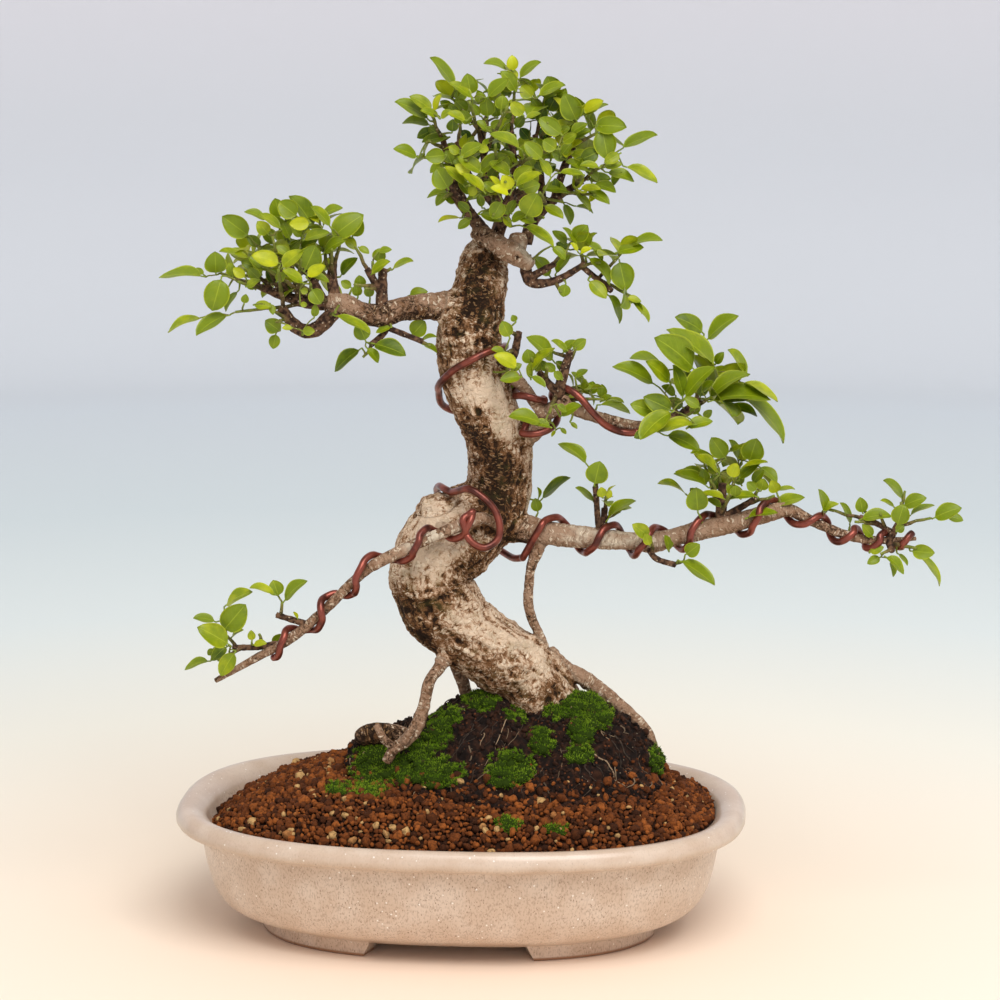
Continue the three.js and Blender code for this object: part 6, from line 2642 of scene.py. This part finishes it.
        [686, 429, 713, 422, 10, -40, 55], [664, 435, 699, 452, 13, -36, 30],
        [700, 408, 684, 398, 9, -34, 45], [703, 418, 712, 410, 7, -20, 40],
        [676, 396, 661, 386, 8, -20, 35], [702, 392, 714, 381, 7, -28, 40],
        [700, 398, 706, 376, 12, -14, 20], [688, 398, 700, 372, 10, -10, 25],
        [720, 396, 728, 378, 10, -10, 30], [712, 388, 730, 370, 11, -6, 30],
        [705, 370, 700, 352, 11, -2, 30], [684, 408, 668, 398, 10, -14, 25],
        [690, 414, 700, 404, 9, -16, 30], [735, 392, 765, 388, 8, -10, 40],
        [694, 386, 684, 372, 9, -6, 20],
    ],
    "spray_right_inner": [
        [588, 466, 557, 445, 10, -14, 55], [594, 486, 600, 461, 21, -18, 40],
        [595, 503, 575, 488, 6, -10, 45], [603, 498, 601, 487, 10, -20, 75],
        [608, 499, 611, 490, 5, -18, 80], [606, 522, 637, 502, 8, -12, 55], [540, 501, 571, 478, 9, 6, 20],
        [538, 513, 535, 498, 10, 4, 40], [538, 500, 537, 487, 3, 4, 50],
    ],
    "spray_right_hanging": [
        [650, 538, 632, 524, 12, -24, 65], [650, 546, 645, 533, 8, -26, 70],
        [669, 552, 664, 535, 7, -18, 40], [685, 555, 700, 544, 13, -24, 55],
        [678, 560, 714, 586, 12, -26, 45],
    ],
    "spray_right_middle": [
        [688, 496, 657, 484, 5, -12, 65], [698, 513, 696, 487, 19, -24, 40],
        [709, 488, 673, 475, 9, -22, 55], [706, 481, 683, 469, 8, -16, 50],
        [706, 484, 702, 468, 10, -18, 45], [720, 474, 696, 456, 8, -22, 65],
        [716, 462, 690, 454, 6, -16, 60], [726, 459, 711, 437, 16, -14, 50],
        [738, 460, 728, 440, 7, -6, 45], [728, 452, 743, 447, 5, -10, 60],
        [749, 462, 757, 438, 21, -10, 45], [738, 481, 761, 464, 10, -14, 45],
        [740, 470, 768, 463, 4, -16, 70], [758, 466, 777, 483, 9, -8, 50],
        [730, 478, 737, 463, 12, -26, 75], [734, 495, 727, 484, 7, -26, 50],
        [735, 497, 736, 485, 10, -28, 55], [726, 500, 702, 493, 6, -26, 70],
        [757, 491, 747, 482, 9, -22, 60], [761, 491, 764, 478, 11, -20, 60],
        [777, 493, 771, 480, 11, -18, 75], [758, 497, 729, 501, 7, -26, 60],
        [772, 507, 805, 498, 10, -18, 55], [775, 492, 795, 490, 4, -12, 60],
        [745, 519, 778, 514, 7, -24, 55], [722, 508, 706, 500, 6, -22, 45],
        [722, 490, 712, 474, 11, -14, 25], [742, 486, 735, 470, 10, -12, 30],
        [700, 498, 690, 488, 9, -16, 35], [752, 484, 764, 470, 9, -12, 35],
        [716, 472, 708, 462, 8, -10, 35],
    ],
    "spray_right_tip": [
        [822, 520, 817, 489, 7, -16, 55], [822, 512, 839, 504, 6, -18, 65],
        [850, 526, 839, 503, 6, -14, 45], [863, 514, 860, 497, 11, -18, 50],
        [859, 520, 892, 517, 10, -22, 50], [873, 538, 862, 524, 9, -22, 55],
        [903, 501, 882, 481, 8, -10, 45], [895, 508, 880, 501, 4, -14, 60],
        [902, 507, 927, 498, 12, -18, 50], [897, 526, 904, 504, 16, -26, 50],
        [908, 517, 935, 506, 5, -16, 55], [932, 519, 962, 508, 14, -20, 50],
        [945, 516, 963, 521, 8, -14, 45], [896, 532, 904, 525, 8, -26, 35],
        [910, 551, 935, 553, 13, -24, 55], [918, 556, 938, 587, 6, -20, 60],
        [869, 553, 884, 547, 8, -24, 65], [881, 557, 867, 564, 8, -24, 50],
        [884, 556, 903, 575, 8, -28, 55], [890, 560, 893, 577, 5, -22, 50],
        [897, 553, 907, 566, 4, -20, 60],
    ],
    "spray_low_left_tip": [
        [224, 607, 253, 592, 10, -44, 65], [222, 632, 246, 604, 22, -50, 40],
        [216, 622, 193, 619, 8, -42, 45], [231, 646, 197, 627, 19, -56, 65],
        [228, 646, 212, 661, 10, -46, 25], [214, 648, 208, 655, 6, -44, 45],
        [236, 651, 221, 676, 14, -54, 60], [211, 661, 185, 671, 7, -44, 55],
        [231, 638, 244, 630, 4, -46, 65], [252, 641, 251, 630, 7, -46, 70],
        [253, 645, 267, 644, 6, -46, 75], [272, 644, 283, 634, 8, -36, 45],
    ],
    "spray_low_left_middle": [
        [279, 597, 273, 580, 17, -42, 55], [276, 595, 249, 589, 7, -46, 75],
        [283, 603, 308, 581, 10, -44, 50], [298, 619, 293, 612, 3, -44, 70],
    ],
}

SPRAYS = (
    Spray("spray_crown_front", 101, limbs=[
        [[17, 2, 356, 4.5], [4, -8, 374, 3.5], [-7, -13, 388, 1.8]],
        [[5, -6, 373, 3], [-3, -4, 389, 2.5], [-9, -2, 411, 1.7]],
        [[18, 3, 358, 4], [23, -6, 374, 3], [27, -9, 392, 2.3], [26, -5, 414, 1.7]],
        [[23, -5, 373, 3], [14, -14, 392, 2.3], [10, -8, 416, 1.7]],
    ], shoots=[
        [-15, -15, 425, 0, 22], [-16, -10, 410, 0, 19], [-22, 5, 401, 4, 18], [-4, -5, 431, 5, 22],
        [5, -25, 430, 0, 18], [15, 10, 430, 5, 19], [28, 0, 439, 6, 18], [3, -38, 402, 0, 19],
        [-10, -25, 396, 0, 19], [5, -45, 390, 0, 18], [23, -48, 392, 0, 18], [17, -40, 375, 0, 18],
        [36, -44, 404, 0, 18], [24, -30, 428, 0, 16], [50, -32, 407, 0, 18], [18, -40, 410, 0, 18],
        [-8, -20, 382, 0, 16], [52, -10, 379, 0, 16], [26, -24, 368, 0, 16], [2, -10, 405, 6, 16],
        [20, -12, 412, 6, 16], [-6, -6, 398, 5, 15], [32, -14, 398, 6, 16], [14, -18, 385, 5, 15],
        [45, -8, 398, 5, 16],
    ]),
    Spray("spray_crown_side", 102, limbs=[
        [[33, -5, 358, 4], [37, -4, 369, 3.5], [48, -2, 380, 2.5], [62, 0, 389, 1.8]],
        [[42, -3, 373, 2.5], [41, 7, 390, 2.2], [38, 6, 412, 1.7]],
        [[47, -2, 378, 2.3], [53, 3, 396, 2.2], [60, 4, 412, 1.7]],
    ], shoots=[
        [43, 5, 431, 6, 19], [44, -28, 420, 0, 20], [58, -5, 422, 5, 21], [70, 10, 413, 5, 22],
        [73, -10, 398, 0, 22], [62, -30, 394, 0, 19], [40, -38, 386, 0, 20], [42, -30, 373, 0, 20],
        [68, -12, 383, 0, 19], [55, -8, 405, 5, 17], [60, -12, 385, 5, 16], [48, 4, 415, 5, 16],
    ]),
    Spray("spray_crown_back", 103, limbs=[
        [[17, 8, 357, 4], [20, 24, 370, 3], [17, 33, 396, 2]],
        [[21, 22, 368, 2.5], [35, 32, 385, 2.3], [45, 34, 405, 2]],
        [[19, 25, 373, 2.5], [4, 30, 390, 2.3], [-2, 28, 407, 1.8]],
    ], shoots=[
        [0, 32, 421, 5, 20], [20, 30, 430, 5, 19], [38, 36, 431, 5, 19], [66, 34, 407, 5, 20],
        [53, 46, 390, 5, 19], [28, 52, 401, 5, 19], [-13, 30, 394, 4, 19], [51, 38, 424, 5, 20],
        [20, 44, 377, 5, 19], [5, 46, 401, 5, 19], [36, 42, 375, 4, 19],
    ]),
    Spray("spray_crown_right", 104, limbs=[
        [[33, -8, 352, 3.5], [35, -9, 339, 3], [48, -9, 339, 2.3], [64, -9, 348, 1.7]],
        [[36, -9, 341, 2.5], [48, -11, 348, 1.8]],
        [[61, -9, 347, 1.7], [77, -11, 334, 1.7]],
    ], shoots=[
        [54, -14, 355, 0, 20], [62, -2, 354, 6, 18], [71, -14, 349, 0, 19], [72, -12, 336, 0, 18],
        [82, -6, 353, 4, 20], [87, -8, 331, 4, 19], [51, -14, 334, 0, 13],
    ]),
    Spray("spray_left", 105, limbs=[
        [[-58, -18, 328, 4.8], [-81, -18, 330, 3.5], [-104, -18, 338, 1.7]],
        [[-62, -19, 326, 4.2], [-73, -24, 316, 4.2], [-82, -24, 317, 3.8], [-90, -25, 327, 3]],
        [[-63, -17, 330, 3.6], [-65, -12, 341, 3], [-64, -10, 350, 2]],
        [[-69, -16, 329, 3], [-80, -2, 348, 2]],
        [[-67, -16, 329, 3], [-78, 6, 331, 2.5], [-91, 16, 334, 2]],
    ], shoots=[
        [-121, -18, 344, 0, 23], [-111, -32, 341, 0, 13], [-109, -8, 349, 4, 19], [-102, -15, 357, 0, 22],
        [-94, -24, 363, 0, 16], [-81, 2, 363, 5, 21], [-71, -5, 367, 4, 20], [-60, -15, 361, 0, 25],
        [-64, -28, 357, 0, 19], [-79, -38, 353, 0, 21], [-90, -42, 348, 0, 20], [-74, -42, 341, 0, 17],
        [-113, -25, 325, 0, 22], [-92, -34, 321, 0, 16], [-62, -36, 326, 0, 20], [-109, 18, 351, 5, 19],
        [-78, 25, 354, 5, 19], [-116, 12, 341, 4, 18], [-89, -10, 365, 0, 18], [-99, -32, 349, 0, 17],
        [-69, -40, 335, 0, 18], [-98, -35, 330, 0, 14], [-79, -30, 314, 0, 10], [-94, 28, 355, 5, 19],
        [-72, 22, 341, 4, 18], [-96, 30, 342, 5, 18], [-100, -12, 350, 5, 15], [-88, -18, 352, 5, 16],
        [-75, -14, 352, 5, 16], [-84, -20, 340, 5, 14], [-70, -8, 358, 5, 15],
    ]),
    Spray("spray_left_inner", 106, limbs=[
        [[-40, -16, 323, 3.8], [-39, -17, 346, 2.5]],
        [[-40, -17, 334, 2.5], [-47, -17, 346, 2]],
    ], shoots=[
        [-53, -14, 357, 0, 11], [-44, -19, 350, 0, 13], [-35, -14, 346, 0, 13], [-53, -26, 339, 0, 12],
        [-48, -22, 337, 0, 10],
    ]),
    Spray("spray_left_under", 107, rise=-0.3, limbs=[
        [[-36, -15, 321, 2], [-38, -17, 314, 1.7], [-45, -21, 308, 1.7]],
        [[-37, -16, 316, 1.7], [-19, -17, 309, 1.7]],
    ], shoots=[
        [-49, -24, 302, 0, 22], [-15, -18, 307, 0, 12],
    ]),
    Spray("spray_trunk_side", 108, limbs=[
        [[14, -6, 296, 3.4], [26, -7, 299, 2.6], [30, -8, 313, 2]],
    ], shoots=[
        [23, -14, 315, 0, 13], [22, -22, 304, 0, 16], [24, -24, 293, 0, 16],
    ]),
    Spray("spray_upper_right_inner", 109, limbs=[
        [[50, -7, 274, 3.8], [51, -12, 286, 3.4], [56, -13, 304, 2]],
        [[50, -11, 281, 2.6], [40, -14, 293, 2]],
    ], shoots=[
        [36, -18, 301, 0, 18], [47, -10, 303, 0, 16], [60, -10, 306, 0, 13], [44, -26, 297, 0, 12],
        [66, -5, 283, 5, 12], [73, -14, 279, 0, 17], [58, 6, 282, 3, 14], [45, -28, 274, 0, 22],
    ]),
    Spray("spray_upper_right_end", 110, limbs=[
        [[106, -12, 268, 2.4], [117, -13, 273, 2.3], [122, -13, 279, 2]],
    ], shoots=[
        [106, -26, 280, 0, 30], [122, -14, 287, 0, 34], [131, -6, 281, 6, 34], [117, -28, 274, 0, 25],
        [124, 10, 279, 5, 30],
    ]),
    Spray("spray_right_inner", 111, limbs=[
        [[73, -9, 207, 2.4], [74, -10, 222, 1.8]],
        [[71, -10, 210, 1.8], [69, -15, 234, 1.7]],
    ], shoots=[
        [70, -15, 239, 0, 20], [75, -8, 229, 4, 10], [82, -8, 220, 2, 16],
    ]),
    Spray("spray_right_hanging", 112, rise=-0.1, limbs=[
        [[96, -13, 203, 2], [100, -22, 198, 1.7], [110, -24, 195, 1.7]],
    ], shoots=[
        [97, -25, 210, 0, 13], [114, -24, 197, 0, 19],
    ]),
    Spray("spray_right_middle", 113, limbs=[
        [[133, -17, 213, 4], [134, -17, 236, 2.3]],
        [[134, -17, 218, 2.5], [151, -20, 229, 1.7]],
    ], shoots=[
        [122, -22, 231, 0, 22], [127, -24, 239, 0, 17], [132, -15, 244, 0, 19], [142, -12, 240, 0, 17],
        [136, -32, 233, 0, 14], [126, 0, 242, 5, 18], [145, 2, 244, 5, 22], [154, -15, 235, 0, 13],
        [160, -24, 231, 0, 19], [137, 14, 232, 5, 18],
    ]),
    Spray("spray_right_tip", 114, limbs=[
        [[219, -20, 206.5, 2.6], [224, -21, 217, 1.7], [226, -20, 224, 1.7]],
        [[221, -20, 211, 1.8], [212, -19, 216, 1.7], [204, -20, 219, 1.7]],
        [[219, -20, 206.5, 2.2], [220, -27, 203, 1.7]],
    ], shoots=[
        [187, -17, 223, 0, 14], [206, -12, 224, 0, 13], [201, -27, 218, 0, 13], [214, -24, 222, 0, 18],
        [225, -20, 227, 0, 18], [228, -11, 231, 0, 17], [240, -22, 219, 0, 21], [214, -30, 202, 0, 14],
        [233, -26, 204, 0, 22],
    ]),
    Spray("spray_low_left_tip", 115, limbs=[
        [[-92, -44, 158, 2.2], [-104, -44, 156.5, 1.8], [-115, -47, 157, 1.7]],
    ], shoots=[
        [-118, -46, 163, 0, 23], [-122, -54, 152, 0, 19], [-102, -42, 163, 0, 9],
    ]),
    Spray("spray_low_left_middle", 116, limbs=[
        [[-77, -43, 168, 2], [-93, -43, 173, 1.7]],
    ], shoots=[
        [-90, -44, 180, 0, 18],
    ]),
)

MOSS_PATCHES = {
    "moss_left": (
        Patch(378, 766, 27, 24), Patch(372, 788, 16, 8), Patch(400, 768, 30, 15), Patch(434, 772, 30, 15),
        Patch(420, 748, 13, 17), Patch(441, 729, 12, 18), Patch(452, 716, 10, 9), Patch(481, 698, 16, 12),
        Patch(340, 788, 14, 5),
    ),
    "moss_right": (
        Patch(585, 699, 26, 20), Patch(598, 716, 13, 15), Patch(582, 732, 11, 15), Patch(556, 712, 11, 7),
        Patch(656, 760, 5, 16),
    ),
    "moss_front": (
        Patch(511, 768, 24, 17), Patch(500, 778, 14, 9), Patch(541, 741, 11, 13), Patch(579, 755, 12, 8),
        Patch(516, 714, 10, 6), Patch(508, 824, 12, 5), Patch(556, 829, 10, 5),
    ),
}


def finish_carried(nodes: Iterable[str]) -> None:
    """Gives the CAD nodes themselves the finish of what replaces them.

    Args:
        nodes: The names of the CAD nodes.
    """
    finishes = {
        "pot": GLAZE, "drain": PLASTIC, "soil": GRAINS, "root": PEAT, "trunk": BARK, "moss": MOSS,
        "wire": COPPER, "spray": LEAF_SKIN,
    }
    for name in nodes:
        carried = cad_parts[name]
        carried.data.materials.clear()
        carried.data.materials.append(finishes[name.split("_")[0]].material())


def plain(bounds: object) -> list:
    """Bounds as plain lists of numbers."""
    return [[float(value) for value in corner] for corner in bounds]


def main() -> None:
    """Builds the scene, one sub-assembly after the other."""
    logging.basicConfig(level=logging.INFO, format="%(message)s")
    PHOTO.build()
    Studio().build()
    Pot().build()
    mound = RootMound()
    mound.build()
    soil = Soil(mound)
    soil.build()
    for i, (node, patches) in enumerate(MOSS_PATCHES.items()):
        MossCushion(node, 41 + i, patches, soil).build()
    Wood().build()
    Wires().build()
    for spray in SPRAYS:
        spray.build()
    finish_carried(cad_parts)


if __name__ == "__main__":
    main()
